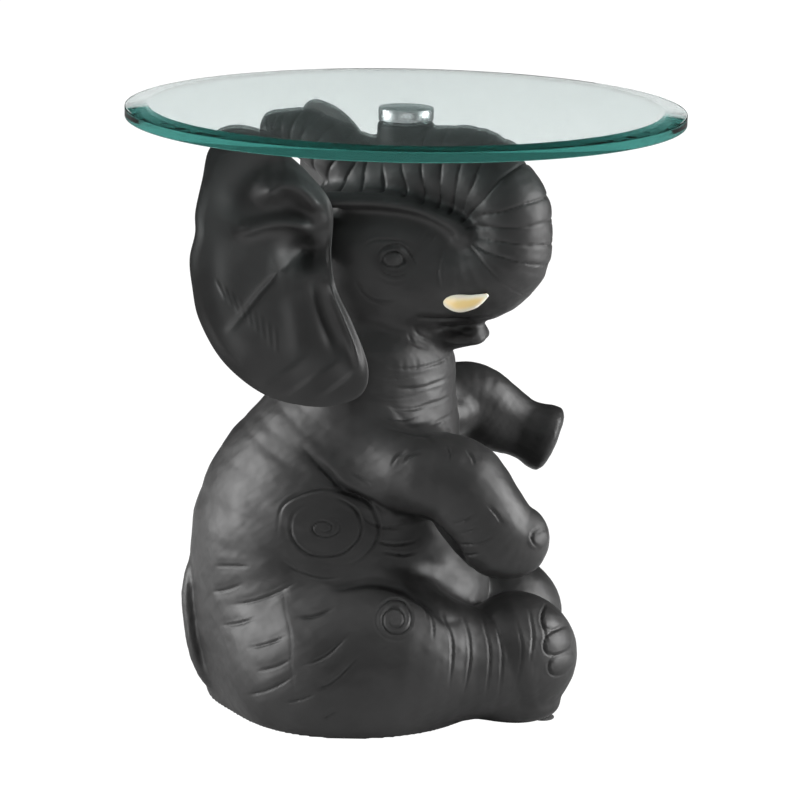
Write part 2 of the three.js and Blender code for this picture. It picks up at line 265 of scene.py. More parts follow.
@dataclass
class Field:
    """Signed distances on a grid of points, joined and carved shape by shape.

    Attributes:
        low: Lowest corner of the grid.
        high: Corner that the grid reaches at least.
        step: Distance between grid points.
        empty: Distance that stands for open space.
        join_margin: How far beyond its box and blend a joined shape is worked out.
        carve_margin: The same for a carved one.
        values: Distance at each grid point.
    """

    low: Array
    high: Array
    step: float
    empty: float = 60.0
    join_margin: float = 14.0
    carve_margin: float = 6.0
    values: Array = field(init=False)

    def __post_init__(self) -> None:
        """Starts as empty space."""
        shape = np.ceil((self.high - self.low) / self.step).astype(int) + 1
        self.values = np.full(shape, self.empty, np.float32)

    def _block(self, shape: Egg | Limb, margin: float) -> tuple[tuple[slice, ...], Array]:
        """Grid slices round a shape, and their points."""
        low, high = shape.bounds()
        first = np.maximum(np.floor((low - margin - self.low) / self.step), 0).astype(int)
        last = np.minimum(np.ceil((high + margin - self.low) / self.step) + 1,
                          self.values.shape).astype(int)
        axes = [self.low[a] + self.step * np.arange(first[a], last[a]) for a in range(3)]
        grid = np.meshgrid(*axes, indexing="ij")
        points = np.stack([g.ravel() for g in grid], axis=1).astype(np.float32)
        return tuple(slice(a, b) for a, b in zip(first, last)), points

    def join(self, shape: Egg | Limb, blend: float) -> None:
        """Adds a shape, with a fillet where it meets the rest."""
        where, points = self._block(shape, blend + self.join_margin)
        old = self.values[where]
        new = shape.distance(points).reshape(old.shape)
        self.values[where] = np.minimum(old, new) - fillet(old, new, blend)

    def carve(self, shape: Egg | Limb, blend: float) -> None:
        """Takes a shape away, with the same rounding along the edge."""
        where, points = self._block(shape, blend + self.carve_margin)
        old = self.values[where]
        new = -shape.distance(points).reshape(old.shape)
        self.values[where] = np.maximum(old, new) + fillet(old, new, blend)

    def layers(self, first: int, stop: int | None = None) -> list[Array]:
        """X, y and z of the grid points in some of the level layers."""
        x, y, z = (self.low[a] + self.step * np.arange(self.values.shape[a]) for a in range(3))
        return np.meshgrid(x, y, z[first:stop], indexing="ij")

    def sample(self, points: Array) -> Array:
        """Distances at any points, by trilinear interpolation."""
        place = np.clip((points - self.low) / self.step, 0, np.array(self.values.shape) - 1.001)
        i = place.astype(int)
        f = place - i
        total = np.zeros(len(points))
        for corner in np.ndindex(2, 2, 2):
            weight = np.prod(np.where(np.array(corner), f, 1.0 - f), axis=1)
            x, y, z = (i + np.array(corner)).T
            total += weight * self.values[x, y, z]
        return total

    def normals(self, points: Array) -> Array:
        """Unit gradients at any points, by central differences."""
        gradient = np.stack([self.sample(points + e) - self.sample(points - e)
                             for e in np.eye(3) * self.step * 0.9], axis=1)
        return gradient / np.maximum(np.linalg.norm(gradient, axis=1), 1e-6)[:, None]


@dataclass
class Skin:
    """Closed surface of four-sided faces."""

    points: Array
    faces: Faces

    @staticmethod
    def around(solid: Field) -> "Skin":
        """Surface net of a field: one point in each cell that the surface crosses.

        The point is the mean of where the surface crosses the cell's edges, and each crossed grid
        edge gets a face between the four cells that share it.
        """
        values = solid.values
        inside = values < 0
        size = np.array(values.shape)
        count = np.zeros(size - 1, np.int8)
        for corner in np.ndindex(2, 2, 2):
            count += inside[tuple(slice(c, n - 1 + c) for c, n in zip(corner, size))]
        active = (count > 0) & (count < 8)
        cells = np.argwhere(active)
        index = np.full(active.shape, -1)
        index[active] = np.arange(len(cells))
        total, hits = np.zeros((len(cells), 3)), np.zeros(len(cells))
        faces = []
        for axis in range(3):
            unit = np.eye(3, dtype=int)
            u, v = unit[(axis + 1) % 3], unit[(axis + 2) % 3]
            for shift in (0 * u, u, v, u + v):
                start = cells + shift
                a, b = values[tuple(start.T)], values[tuple((start + unit[axis]).T)]
                crossed = (a < 0) != (b < 0)
                t = a[crossed] / (a[crossed] - b[crossed])
                total[crossed] += start[crossed] + t[:, None] * unit[axis]
                hits[crossed] += 1
            low = [slice(1, n - 1) for n in size]
            low[axis] = slice(0, size[axis] - 1)
            high = list(low)
            high[axis] = slice(1, size[axis])
            first, second = inside[tuple(low)], inside[tuple(high)]
            edges = np.argwhere(first != second) + np.where(np.arange(3) == axis, 0, 1)
            outward = inside[tuple(edges.T)]
            ring = [index[tuple((edges - back).T)] for back in (u + v, v, 0 * u, u)]
            quad = np.stack(ring, axis=1)
            faces.append(np.where(outward[:, None], quad, quad[:, ::-1]))
        points = solid.low + solid.step * total / hits[:, None]
        return Skin(points, np.concatenate(faces))

    def settle(self, solid: Field, passes: int) -> None:
        """Moves the points onto the surface, along its normals."""
        for _ in range(passes):
            self.points -= solid.sample(self.points)[:, None] * solid.normals(self.points) * 0.9

    def relax(self, passes: int) -> None:
        """Evens the points out: half way to the mean of their neighbours, each pass."""
        a, b = self.faces.ravel(), np.roll(self.faces, -1, axis=1).ravel()
        degree = np.bincount(a, minlength=len(self.points))[:, None]
        for _ in range(passes):
            total = np.stack([np.bincount(a, self.points[b, k], len(self.points))
                              for k in range(3)], axis=1)
            self.points += 0.5 * (total / degree - self.points)

    def relax_between(self, low: float, high: float, passes: int) -> None:
        """Evens out only the points between two heights, fading over 6 mm at each."""
        before = self.points.copy()
        share = ease(before[:, 2], low, low + 6.0) * (1.0 - ease(before[:, 2], high - 6.0, high))
        self.relax(passes)
        self.points = before + share[:, None] * (self.points - before)

    def refine(self) -> None:
        """Splits each face into four, through its middle and the middles of its edges."""
        n = len(self.points)
        nexts = np.roll(self.faces, -1, axis=1)
        low, high = np.minimum(self.faces, nexts), np.maximum(self.faces, nexts)
        keys, edge = np.unique((low * n + high).ravel(), return_inverse=True)
        edge = edge.reshape(self.faces.shape) + n
        middles = (self.points[keys // n] + self.points[keys % n]) / 2
        centres = self.points[self.faces].mean(axis=1)
        centre = n + len(keys) + np.arange(len(self.faces))
        self.points = np.vstack([self.points, middles, centres])
        self.faces = np.concatenate([
            np.stack([self.faces[:, k], edge[:, k], centre, edge[:, k - 1]], axis=1)
            for k in range(4)])


# ---------------------------------------------------------------------------------------------
# Meshes
# ---------------------------------------------------------------------------------------------
def mesh_object(name: str, points: Array, faces: Faces, marks: dict[str, Array] | None = None,
                triangles: Faces | None = None) -> bpy.types.Object:
    """Puts whole arrays into a new smooth-shaded object at the origin.

    Args:
        name: The piece's name.
        points: Vertices in millimetres.
        faces: Four-sided faces.
        marks: Named values for each vertex, kept as attributes.
        triangles: Further faces with three corners.

    Returns:
        The new object.
    """
    triangles = np.zeros((0, 3), int) if triangles is None else triangles
    mesh = bpy.data.meshes.new(name)
    mesh.vertices.add(len(points))
    mesh.vertices.foreach_set("co", (points * MM).astype(np.float32).ravel())
    corners = np.concatenate([faces.ravel(), triangles.ravel()]).astype(np.int32)
    sizes = np.concatenate([np.full(len(faces), 4), np.full(len(triangles), 3)])
    starts = np.concatenate([[0], np.cumsum(sizes)[:-1]]).astype(np.int32)
    mesh.loops.add(len(corners))
    mesh.loops.foreach_set("vertex_index", corners)
    mesh.polygons.add(len(sizes))
    mesh.polygons.foreach_set("loop_start", starts)
    mesh.polygons.foreach_set("use_smooth", np.ones(len(sizes), bool))
    mesh.update(calc_edges=True)
    for mark, values in (marks or {}).items():
        attribute = mesh.attributes.new(mark, "FLOAT", "POINT")
        attribute.data.foreach_set("value", values.astype(np.float32))
    mesh.validate()
    piece = bpy.data.objects.new(name, mesh)
    bpy.context.scene.collection.objects.link(piece)
    return piece


def ring_surface(name: str, rings: Array, poles: bool = True,
                 marks: dict[str, Array] | None = None) -> bpy.types.Object:
    """Closed surface from rings of points.

    Args:
        name: The piece's name.
        rings: Array (rows, sides, 3). With poles, the first and last rows are single points.
        poles: True for a surface that closes in two points, False for one that joins its last
            row to its first.
        marks: Named values, one for each point of rings.

    Returns:
        The new object, with its faces pointing outwards.
    """
    rows, sides = rings.shape[:2]
    grid = np.arange(rows * sides).reshape(rows, sides)
    if poles:
        grid = grid - sides + 1
        grid[0], grid[-1] = 0, grid[-2].max() + 1
        keep = np.r_[0, sides:sides * (rows - 1), sides * (rows - 1)]
        below, above, first, last = grid[1:-2], grid[2:-1], grid[1], grid[-2]
        fans = np.concatenate([
            np.stack([np.zeros(sides, int), np.roll(first, -1), first], -1),
            np.stack([np.full(sides, grid[-1, 0]), last, np.roll(last, -1)], -1)])
    else:
        keep = np.arange(rows * sides)
        below, above = grid, np.roll(grid, -1, axis=0)
        fans = np.zeros((0, 3), int)
    faces = np.stack([below, np.roll(below, -1, 1), np.roll(above, -1, 1), above], -1).reshape(-1, 4)
    points = rings.reshape(-1, 3)[keep]
    a, b, c, d = (points[faces[:, k]] for k in range(4))
    volume = np.einsum("ij,ij->", a, np.cross(b, c)) + np.einsum("ij,ij->", a, np.cross(c, d))
    if volume < 0:
        faces, fans = faces[:, ::-1], fans[:, ::-1]
    kept = {mark: values.reshape(-1)[keep] for mark, values in (marks or {}).items()}
    return mesh_object(name, points, faces, kept, fans)


def full_turn(sides: int) -> Array:
    """Angles evenly spaced round one turn."""
    return np.linspace(0, 2 * np.pi, sides, endpoint=False)


def polar_rings(r: Array, a: Array, z: Array) -> Array:
    """Points (r cos a, r sin a, z), from arrays that fit together."""
    return np.stack([r * np.cos(a), r * np.sin(a), z + 0 * a], axis=-1)


def turned_rings(profile: Array, sides: int) -> Array:
    """Rings of a piece turned about Z, one for each profile point (r, z)."""
    return polar_rings(profile[:, :1], full_turn(sides), profile[:, 1:])


def arc(centre: tuple[float, float], radius: float, start: float, stop: float, count: int) -> Array:
    """Points (r, z) on a quarter round of a profile, with its angles in degrees."""
    a = np.radians(np.linspace(start, stop, count))
    return np.stack([centre[0] + radius * np.cos(a), centre[1] + radius * np.sin(a)], axis=1)


class Side(Enum):
    """Which side of the elephant a piece is on."""

    RIGHT = "right"
    LEFT = "left"


# ---------------------------------------------------------------------------------------------
# The cast elephant
# ---------------------------------------------------------------------------------------------
@dataclass(frozen=True)
class Mirror:
    """Upright plane through a point, that swaps the elephant's left and right."""

    origin: tuple[float, float]
    yaw: float

    @property
    def left(self) -> Array:
        """Unit vector that points straight to the left of the plane."""
        return np.array([-math.sin(self.yaw), math.cos(self.yaw), 0.0])

    def side(self, points: Array) -> Array:
        """How far each point stands on the left of the plane."""
        return (points[:, :2] - np.array(self.origin)) @ self.left[:2]

    def fold(self, points: Array) -> Array:
        """Points with those on the left moved to their mirror place on the right."""
        return points - 2.0 * np.maximum(self.side(points), 0.0)[:, None] * self.left

    def swap(self, points: Array) -> Array:
        """Every point moved to its mirror place."""
        return points - 2.0 * self.side(points)[:, None] * self.left


BODY_PLANE = Mirror((-40.0, 0.0), 0.0)
FACE_PLANE = Mirror((-26.0, 4.0), math.radians(-17.0))


class Mark(Enum):
    """How a carved line changes the surface."""

    GROOVE = "groove"
    RIDGE = "ridge"
    CUT = "cut"


@dataclass(frozen=True)
class Carving:
    """Carved or raised line: points (x, z) seen from the right, half width and depth in millimetres."""

    path: tuple[tuple[float, float], ...]
    width: float = 1.6
    depth: float = 1.2
    mark: Mark = Mark.GROOVE

    def height(self, points: Array, facing: Array) -> Array:
        """Height of the line over the surface, tapered to nothing at both ends.

        Args:
            points: Points folded to the right side.
            facing: Share from 0 to 1 by which each point's normal looks to the right.

        Returns:
            Height at each point.
        """
        path = smooth_path(np.array(self.path, float), 8 * len(self.path))
        total = np.zeros(len(points))
        reach = 4.0 * self.width
        low, high = path.min(axis=0) - reach, path.max(axis=0) + reach
        flat = points[:, [0, 2]] + 0.7 * ripple(points, 30.0, 5.0)[:, None]
        close = np.all((flat > low) & (flat < high), axis=1) & (points[:, 1] < 0.0) & (facing > 0)
        distance, along = line_distance(flat[close], path)
        taper = ease(along, 0.0, 0.35) * ease(1.0 - along, 0.0, 0.35)
        if self.mark is Mark.GROOVE:
            shape = groove(distance, self.width)
        else:
            sign = 1.0 if self.mark is Mark.RIDGE else -1.0
            shape = sign * np.exp(-(distance / self.width) ** 2)
        total[close] = shape * taper * self.depth * facing[close]
        return total


def spiral(centre: tuple[float, float], inner: float, outer: float, turns: float,
           stretch: tuple[float, float], start: float) -> tuple[tuple[float, float], ...]:
    """Points of a spiral: its radius grows evenly with its angle, and it is stretched along X and Z."""
    count = int(8 * turns) + 1
    t = np.linspace(0.0, 1.0, count)
    angle = start + 2 * np.pi * turns * t
    radius = inner + (outer - inner) * t
    x = centre[0] + stretch[0] * radius * np.cos(angle)
    z = centre[1] + stretch[1] * radius * np.sin(angle)
    return tuple(zip(x.tolist(), z.tolist()))


@dataclass
class Sculpture:
    """The resin elephant, in four closed pieces that stand for the CAD's two castings.

    Attributes:
        bottom: Height of its flat underside.
        seam_x: Where the rump meets the legs and the chest.
        head_from: Height from which the skin belongs to the head.
        chest_from: Height from which the skin in front of the seam belongs to the chest.
        rim_depth: How far each open edge is turned inwards before it is closed.
        neck: Heights between which the skin is evened out once more.
        cell: Step of the distance grid.
        trunk_folds: How many folds run round the trunk.
    """

    bottom: float = 1.8
    seam_x: float = -90.0
    head_from: float = 300.0
    chest_from: float = 109.0
    rim_depth: float = 5.0
    neck: tuple[float, float] = (296.0, 326.0)
    cell: float = 2.8
    trunk_folds: float = 25.0
    torso: Limb = field(default_factory=lambda: Limb([
        (-61, 0, 4, 99, 88), (-64, 0, 50, 104, 105), (-63, 0, 98, 101, 111), (-60, 0, 148, 96, 110),
        (-47, 0, 188, 86, 95), (-31, 0, 224, 78, 81), (-24, 0, 262, 69, 70), (-21, 0, 305, 63, 66),
    ], ends=(0.1, 0.4), pieces=20))
    near_arm: Limb = field(default_factory=lambda: Limb([
        (-34, -40, 218, 32, 34), (12, -74, 211, 34, 36), (47, -84, 206, 35, 37), (66, -87, 182, 34, 36),
        (82, -87, 162, 32, 34), (98, -87, 158, 27, 29),
    ], ends=(0.6, 0.9), pieces=16))
    far_arm: Limb = field(default_factory=lambda: Limb([
        (0, 44, 226, 32, 36), (36, 60, 238, 31, 32), (60, 66, 239, 29, 32), (82, 68, 225, 26, 30),
        (100, 68, 217, 23, 26), (113, 68, 212, 25, 26), (127, 68, 206, 28, 30),
    ], ends=(0.6, 0.2), pieces=24, flat_pieces=9, end_round=6.0))
    trunk: Limb = field(default_factory=lambda: Limb([
        (30, -15, 365, 42, 38), (58, -26, 365, 40, 38), (80, -33, 380, 37, 37), (87, -35, 402, 33, 33),
        (82, -34, 429, 33, 33), (60, -25, 445, 31, 32), (30, -13, 447, 30, 30), (0, -2, 443, 29, 28),
        (-32, 11, 441, 26, 24), (-60, 21, 455, 24, 20), (-84, 30, 467, 22, 16), (-102, 36, 468, 22, 13),
        (-111, 38, 464, 23, 14),
    ], ends=(0.6, 0.2), pieces=40, flat_pieces=2, end_round=5.0))

    def body_field(self) -> Field:
        """The whole elephant but the post, before its underside is cut flat."""
        solid = Field(np.array([-200.0, -150.0, -12.0]), np.array([158.0, 150.0, 505.0]), self.cell)
        solid.join(self.torso, 10.0)
        for out in (-1, 1):
            haunch = Egg((-39, 71 * out, 46), (97, 72, 82))
            thigh = Egg((2, 82 * out, 60), (60, 52, 57))
            solid.join(haunch, 22.0)
            solid.join(thigh, 16.0)
        for side in Side:
            self.add_hind_leg(solid, side)
        chest = Egg((-8, 0, 158), (58, 64, 52))
        belly = Egg((26, 4, 96), (52, 60, 42))
        elbow = Egg((48, 44, 234), (13, 22, 15))
        solid.join(chest, 14.0)
        solid.join(belly, 14.0)
        solid.join(self.near_arm, 20.0)
        solid.join(self.far_arm, 13.0)
        solid.join(elbow, 8.0)
        self.add_tail(solid)
        self.add_head(solid)
        self.carve_mouth(solid)
        return solid

    def add_hind_leg(self, solid: Field, side: Side) -> None:
        """Lower hind leg with its sole facing forwards. The left one is further back and lower."""
        out, back, down = (-1, 0, 0) if side is Side.RIGHT else (1, 7, 4)
        stations = [(0, 82, 56, 54, 55), (42, 76, 51, 48, 48), (78, 68, 50, 45, 46),
                    (94, 62, 55, 45, 49), (105, 61, 58, 49, 51), (114, 60, 60, 46, 48)]
        placed = [(x - back, out * y, z - down, s, h) for x, y, z, s, h in stations]
        sole = Egg((99 - back, 62 * out, 15 - down), (37, 35, 16))
        solid.join(Limb(placed, ends=(0.6, 0.3)), 18.0)
        solid.join(sole, 8.0)

    def add_tail(self, solid: Field) -> None:
        """Flat ribbon of a tail that hangs close behind the rump and curls under it."""
        solid.join(Limb([
            (-164, -8, 124, 4, 3), (-171, -14, 110, 8, 5), (-174, -20, 90, 10, 6), (-171, -26, 64, 11, 6),
            (-166, -31, 40, 11, 6), (-156, -35, 22, 9, 6), (-144, -37, 12, 5, 4)]), 5.0)

    def add_head(self, solid: Field) -> None:
        """Skull, brow, cheeks, lower jaw and trunk."""
        yaw = FACE_PLANE.yaw
        skull = Egg((-26, 4, 374), (76, 59, 68), yaw)
        brow = Egg((30, -14, 394), (38, 35, 32), yaw)
        cheeks = Egg((14, -10, 352), (48, 46, 38), yaw)
        jaw = Limb([(0, -4, 312, 26, 16), (28, -13, 312, 23, 13), (48, -22, 314, 19, 10),
                    (61, -28, 317, 14, 8)])
        solid.join(skull, 22.0)
        solid.join(brow, 14.0)
        solid.join(cheeks, 14.0)
        solid.join(jaw, 8.0)
        solid.join(self.trunk, 9.0)
        for side in Side:
            solid.join(self.brow_lip(side), 12.0)

    def brow_lip(self, side: Side) -> Limb:
        """Folded lip along the brow, under the trunk, ending in a knob in front of the eye."""
        stations = np.array([(-64, -42, 428, 12, 6), (-44, -43, 429, 12, 6), (-18, -41, 428, 12, 6),
                             (6, -38, 424, 12, 6), (28, -40, 417, 12, 6), (42, -45, 410, 11, 7),
                             (48, -49, 404, 8, 8)], float)
        if side is Side.LEFT:
            stations[:, :3] = FACE_PLANE.swap(stations[:, :3])
        return Limb([tuple(row) for row in stations], pieces=12)

    def carve_mouth(self, solid: Field) -> None:
        """Slit between the trunk and the lower jaw."""
        slit = Limb([(34, -46, 331, 4, 0.8), (46, -46, 331, 7, 1.0), (62, -50, 331, 9, 1.6),
                     (78, -54, 332, 10, 2.4)], pieces=8)
        solid.carve(slit, 3.0)

    def trim_base(self, solid: Field) -> None:
        """Cuts the casting flat at its bottom and opens the oval rebate that holds the base plate."""
        rebate_top = 16.0
        count = int((40.0 - solid.low[2]) / solid.step)
        x, y, z = solid.layers(0, count)
        across = np.sqrt(((x + 45.0) / 88.4) ** 2 + (y / 75.4) ** 2)
        oval = np.maximum((across - 1.0) * 78.0, z - rebate_top)
        cut = np.maximum(solid.values[:, :, :count], self.bottom - z)
        solid.values[:, :, :count] = np.maximum(cut, -oval)

    def body_carvings(self) -> list[Carving]:
        """Lines carved below the head, mirrored to the left side."""
        hip, knee = (-60.0, 168.0), (-1.0, 101.0)
        lines = [
            Carving(spiral(hip, 2.5, 16.0, 2.0, (1.0, 0.62), 2.6), 1.2, 1.7),
            Carving(spiral(hip, 27.0, 32.0, 1.05, (1.0, 0.82), 1.9), 1.5, 1.7),
            Carving(spiral((-56, 166), 37.0, 43.0, 0.85, (1.05, 0.80), 4.4), 1.7, 1.6),
            Carving(spiral(knee, 2.5, 19.0, 3.0, (1.0, 0.85), 0.4), 1.3, 1.5),
        ]
        folds = [
            ((-72, 128), (-49, 122), (-22, 125), (2, 120), (23, 111), (40, 97), (64, 95)),
            ((-19, 187), (4, 178), (24, 176), (46, 158), (52, 140), (44, 126)),
            ((-84, 233), (-62, 214), (-44, 199), (-19, 186), (6, 172)),
        ]
        lines += [Carving(path, 3.4, 3.0, Mark.CUT) for path in folds]
        wrinkles = [
            ((-154, 102), (-140, 108), (-124, 118)), ((-138, 96), (-111, 107), (-79, 125)),
            ((-145, 77), (-130, 84), (-113, 94)), ((-123, 68), (-105, 76), (-86, 86)),
            ((-77, 64), (-56, 74), (-37, 92)), ((-69, 44), (-49, 54), (-25, 79)),
            ((-126, 27), (-100, 42), (-77, 60)), ((-59, 20), (-52, 24), (-44, 30)),
            ((-81, 231), (-48, 201), (-19, 187)), ((-97, 141), (-80, 132), (-60, 128), (-40, 131)),
            ((-84, 98), (-66, 102), (-48, 109)),
            ((-152, 125), (-136, 129), (-118, 132)), ((-92, 30), (-76, 36), (-62, 44)),
            ((-115, 52), (-98, 60), (-82, 70)), ((35, 107), (45, 82), (43, 43)),
            ((52, 101), (60, 74), (55, 36)), ((68, 96), (76, 72), (73, 31)),
            ((80, 93), (86, 70), (84, 28)), ((96, 97), (102, 72), (97, 34)),
            ((106, 103), (111, 84), (108, 60)), ((117, 101), (120, 88), (123, 74)),
            ((20, 112), (28, 100), (30, 84)), ((10, 118), (22, 108), (25, 97)),
            ((41, 178), (52, 183), (63, 190)), ((47, 171), (56, 174), (65, 179)),
            ((44, 161), (58, 163), (70, 167), (80, 174)), ((44, 150), (56, 152), (68, 157)),
            ((70, 196), (78, 188), (84, 180)), ((-6, 222), (-2, 230), (7, 236)),
            ((3, 226), (9, 232), (19, 236)), ((36, 240), (40, 235), (40, 228)),
            ((52, 238), (58, 232), (60, 226)), ((-30, 176), (-12, 168), (10, 166)),
            ((-22, 158), (-2, 152), (18, 152)), ((-16, 148), (4, 143), (20, 143)),
            ((-40, 214), (-30, 208), (-20, 204)),
        ]
        lines += [Carving(path, 1.4, 1.0) for path in wrinkles]
        in_wide_dips = wrinkles[:14]
        lines += [Carving(path, 6.0, 0.7) for path in in_wide_dips]
        for down in (0, 16, 32, 48):
            lines.append(Carving(((-17, 297 - down), (8, 293 - down), (30, 295 - down), (50, 300 - down)),
                                 1.8, 0.9))
        for down in (0, 16, 32):
            lines.append(Carving(((-24, 289 - down), (-4, 286 - down), (20, 288 - down)), 1.2, 0.6))
        shoulder = ((-14, 270), (4, 253), (20, 247), (43, 232))
        seam = ((-93, 128), (-90, 103), (-85, 83), (-82, 47), (-70, 6))
        lines += [Carving(shoulder, 3.0, 1.2, Mark.CUT), Carving(seam, 1.0, 0.2, Mark.CUT)]
        toenails = [((141, 103), (124, 102), (118, 94), (123, 86), (143, 84)),
                    ((142, 86), (124, 83), (120, 75), (125, 67), (144, 65)),
                    ((143, 67), (128, 64), (124, 57), (129, 49), (146, 48)),
                    ((111, 112), (117, 104), (131, 101))]
        lines += [Carving(path, 1.2, 1.3) for path in toenails]
        fingernail = ((119, 176), (108, 171), (108, 163), (117, 157))
        lines.append(Carving(fingernail, 1.3, 1.3))
        return lines

    def face_carvings(self) -> list[Carving]:
        """Lines carved in the head, mirrored across the plane that the head looks along."""
        lid = Mark.RIDGE
        return [
            Carving(((-20, 380), (-14, 389), (-3, 390), (5, 380)), 1.4, 2.3, lid),
            Carving(((-19, 381), (-12, 376), (-3, 376), (5, 381)), 1.3, 1.2, lid),
            Carving(((-24, 380), (-15, 393), (-1, 394), (8, 383), (11, 376)), 1.0, 1.3),
            Carving(((-20, 378), (-16, 372), (-8, 369), (0, 370), (5, 374)), 1.1, 0.8),
            Carving(((-24, 374), (-18, 367), (-9, 364), (0, 365), (7, 369)), 1.2, 0.5),
            Carving(((-39, 387), (-23, 398), (-3, 397), (8, 392)), 1.6, 0.7),
            Carving(((-43, 373), (-30, 352), (-14, 346), (2, 353)), 1.8, 0.7),
            Carving(((30, 360), (28, 375), (34, 396)), 1.5, 0.6),
            Carving(((12, 392), (18, 402), (24, 414)), 1.3, 0.5),
            Carving(((16, 390), (24, 400), (30, 412)), 1.2, 0.5),
            Carving(((9, 329), (16, 334), (31, 333), (47, 333), (62, 336), (76, 338)), 1.8, 1.3, Mark.CUT),
            Carving(((8, 336), (16, 340), (34, 339), (52, 340)), 3.0, 0.9, lid),
            Carving(((20, 326), (34, 315), (52, 310), (66, 315), (70, 323)), 3.0, 2.6, lid),
            Carving(((22, 331), (34, 325), (46, 320), (56, 319), (63, 324)), 1.5, 1.0, Mark.CUT),
            Carving(((8, 329), (14, 318), (30, 309)), 1.6, 0.9),
            Carving(((4, 322), (10, 311), (28, 303)), 1.6, 0.8),
        ]

    def rings_height(self, points: Array) -> Array:
        """Folds round the trunk: rounded rings with a narrow crease between them.

        The height is |sin|^0.6 along the trunk's length less a narrow cut where the sine is
        zero, pushed back and forth by a slow ripple, and it fades in from the cheeks.
        """
        total = np.zeros(len(points))
        low, high = self.trunk.bounds()
        close = np.all((points > low - 4) & (points < high + 4), axis=1) & (points[:, 2] > 318)
        reach, share = self.trunk.station_share(points[close])
        phase = share * self.trunk_folds + 0.22 * ripple(points[close], 70.0, 2.0)
        wave = np.abs(np.sin(np.pi * phase))
        fold = 0.9 * (wave ** 0.6 - 0.7) - 1.0 * np.exp(-(wave / 0.16) ** 2)
        fade = ease(share, 0.10, 0.24) * ease(1.0 - share, 0.0, 0.04) * ease(46.0 - reach, 0.0, 10.0)
        total[close] = fold * fade
        return total

    def eyes_height(self, points: Array) -> Array:
        """Eyeball in a shallow socket: a dish, a dome 6 mm in radius and a ring round the iris."""
        distance = np.hypot((points[:, 0] + 8.0) / 1.35, points[:, 2] - 383.0)
        dish = -2.2 * np.exp(-(distance / 11.0) ** 2)
        ball = 2.8 * np.sqrt(np.maximum(1.0 - (distance / 6.0) ** 2, 0.0))
        iris = -0.7 * np.exp(-((distance - 3.6) / 0.7) ** 2)
        edge = -1.1 * np.exp(-((distance - 6.3) / 0.8) ** 2)
        return np.where(points[:, 1] < -20.0, dish + ball + edge + iris * (distance < 5.4), 0.0)

    def toes_height(self, points: Array) -> Array:
        """Rounded nails on the fronts of the feet, and one on the hand."""
        total = np.zeros(len(points))
        for x, z, tall in ((131, 94, 8), (133, 75, 9), (136, 57, 8), (118, 164, 7)):
            distance = np.hypot((points[:, 0] - x) / 13.0, (points[:, 2] - z) / tall)
            total += 1.6 * np.sqrt(np.maximum(1.0 - distance**2, 0.0)) * (points[:, 1] < -20)
        return total

    def detail(self, points: Array, normals: Array) -> tuple[Array, Array]:
        """Height of everything carved, and how deep in a crease each point lies.

        Args:
            points: Points on the smooth surface.
            normals: Unit normals there.

        Returns:
            Heights in millimetres, and crease depths from 0 to 1, which set the painted shade in creases.
        """
        total = np.zeros(len(points))
        # The body's lines give way to the head's between these two heights.
        head = ease(points[:, 2], 304.0, 316.0)
        for plane, share, lines, domes in (
                (BODY_PLANE, 1.0 - head, self.body_carvings(), self.toes_height),
                (FACE_PLANE, head, self.face_carvings(), self.eyes_height)):
            folded = plane.fold(points)
            tilt = plane.fold(points + normals) - folded
            facing = ease(-tilt[:, 1], 0.10, 0.45)
            lined = np.zeros(len(points))
            for line in lines:
                lined += line.height(folded, facing)
            lined += domes(folded) * facing
            total += lined * share
        total += self.rings_height(points)
        # How deep in a crease each point lies; the resin's material turns this into painted shade.
        crease = np.clip(-total / 1.6, 0.0, 1.0)
        soft = 0.8 * ripple(points, 52.0, 0.3) + 0.3 * ripple(points, 21.0, 4.1)
        return total + soft + 0.10 * ripple(points, 8.0, 1.1), crease

    def build(self) -> list[bpy.types.Object]:
        """Makes the whole skin and cuts it into closed pieces."""
        solid = self.body_field()
        self.join_post(solid)
        self.trim_base(solid)
        skin = Skin.around(solid)
        skin.relax(1)
        skin.settle(solid, 2)
        skin.refine()
        skin.settle(solid, 1)
        skin.relax_between(*self.neck, 8)
        normals = solid.normals(skin.points)
        height, crease = self.detail(skin.points, normals)
        beside_post = ease(np.hypot(skin.points[:, 0], skin.points[:, 1]), 26.0, 34.0)
        below_post = 1.0 - ease(skin.points[:, 2], 444.0, 452.0)
        above_sole = ease(skin.points[:, 2], self.bottom + 1.0, self.bottom + 5.0)
        height = height * np.maximum(beside_post, below_post) * above_sole
        skin.points += normals * height[:, None]
        skin.points[:, 2] = np.maximum(skin.points[:, 2], self.bottom)
        log.info("casting: %d faces", len(skin.faces))
        return self.split(skin, crease)

    def join_post(self, solid: Field) -> None:
        """Joins the post on the trunk: a round column, a little wider at its foot."""
        first = int((440.0 - solid.low[2]) / solid.step)
        x, y, z = solid.layers(first)
        flare = 2.5 * np.clip((POST_TOP - 16.0 - z) / 16.0, 0.0, 1.0)
        column = np.maximum(np.hypot(x, y) - 23.25 - flare, z - POST_TOP)
        old = solid.values[:, :, first:]
        solid.values[:, :, first:] = np.minimum(old, column) - fillet(old, column, 3.0)

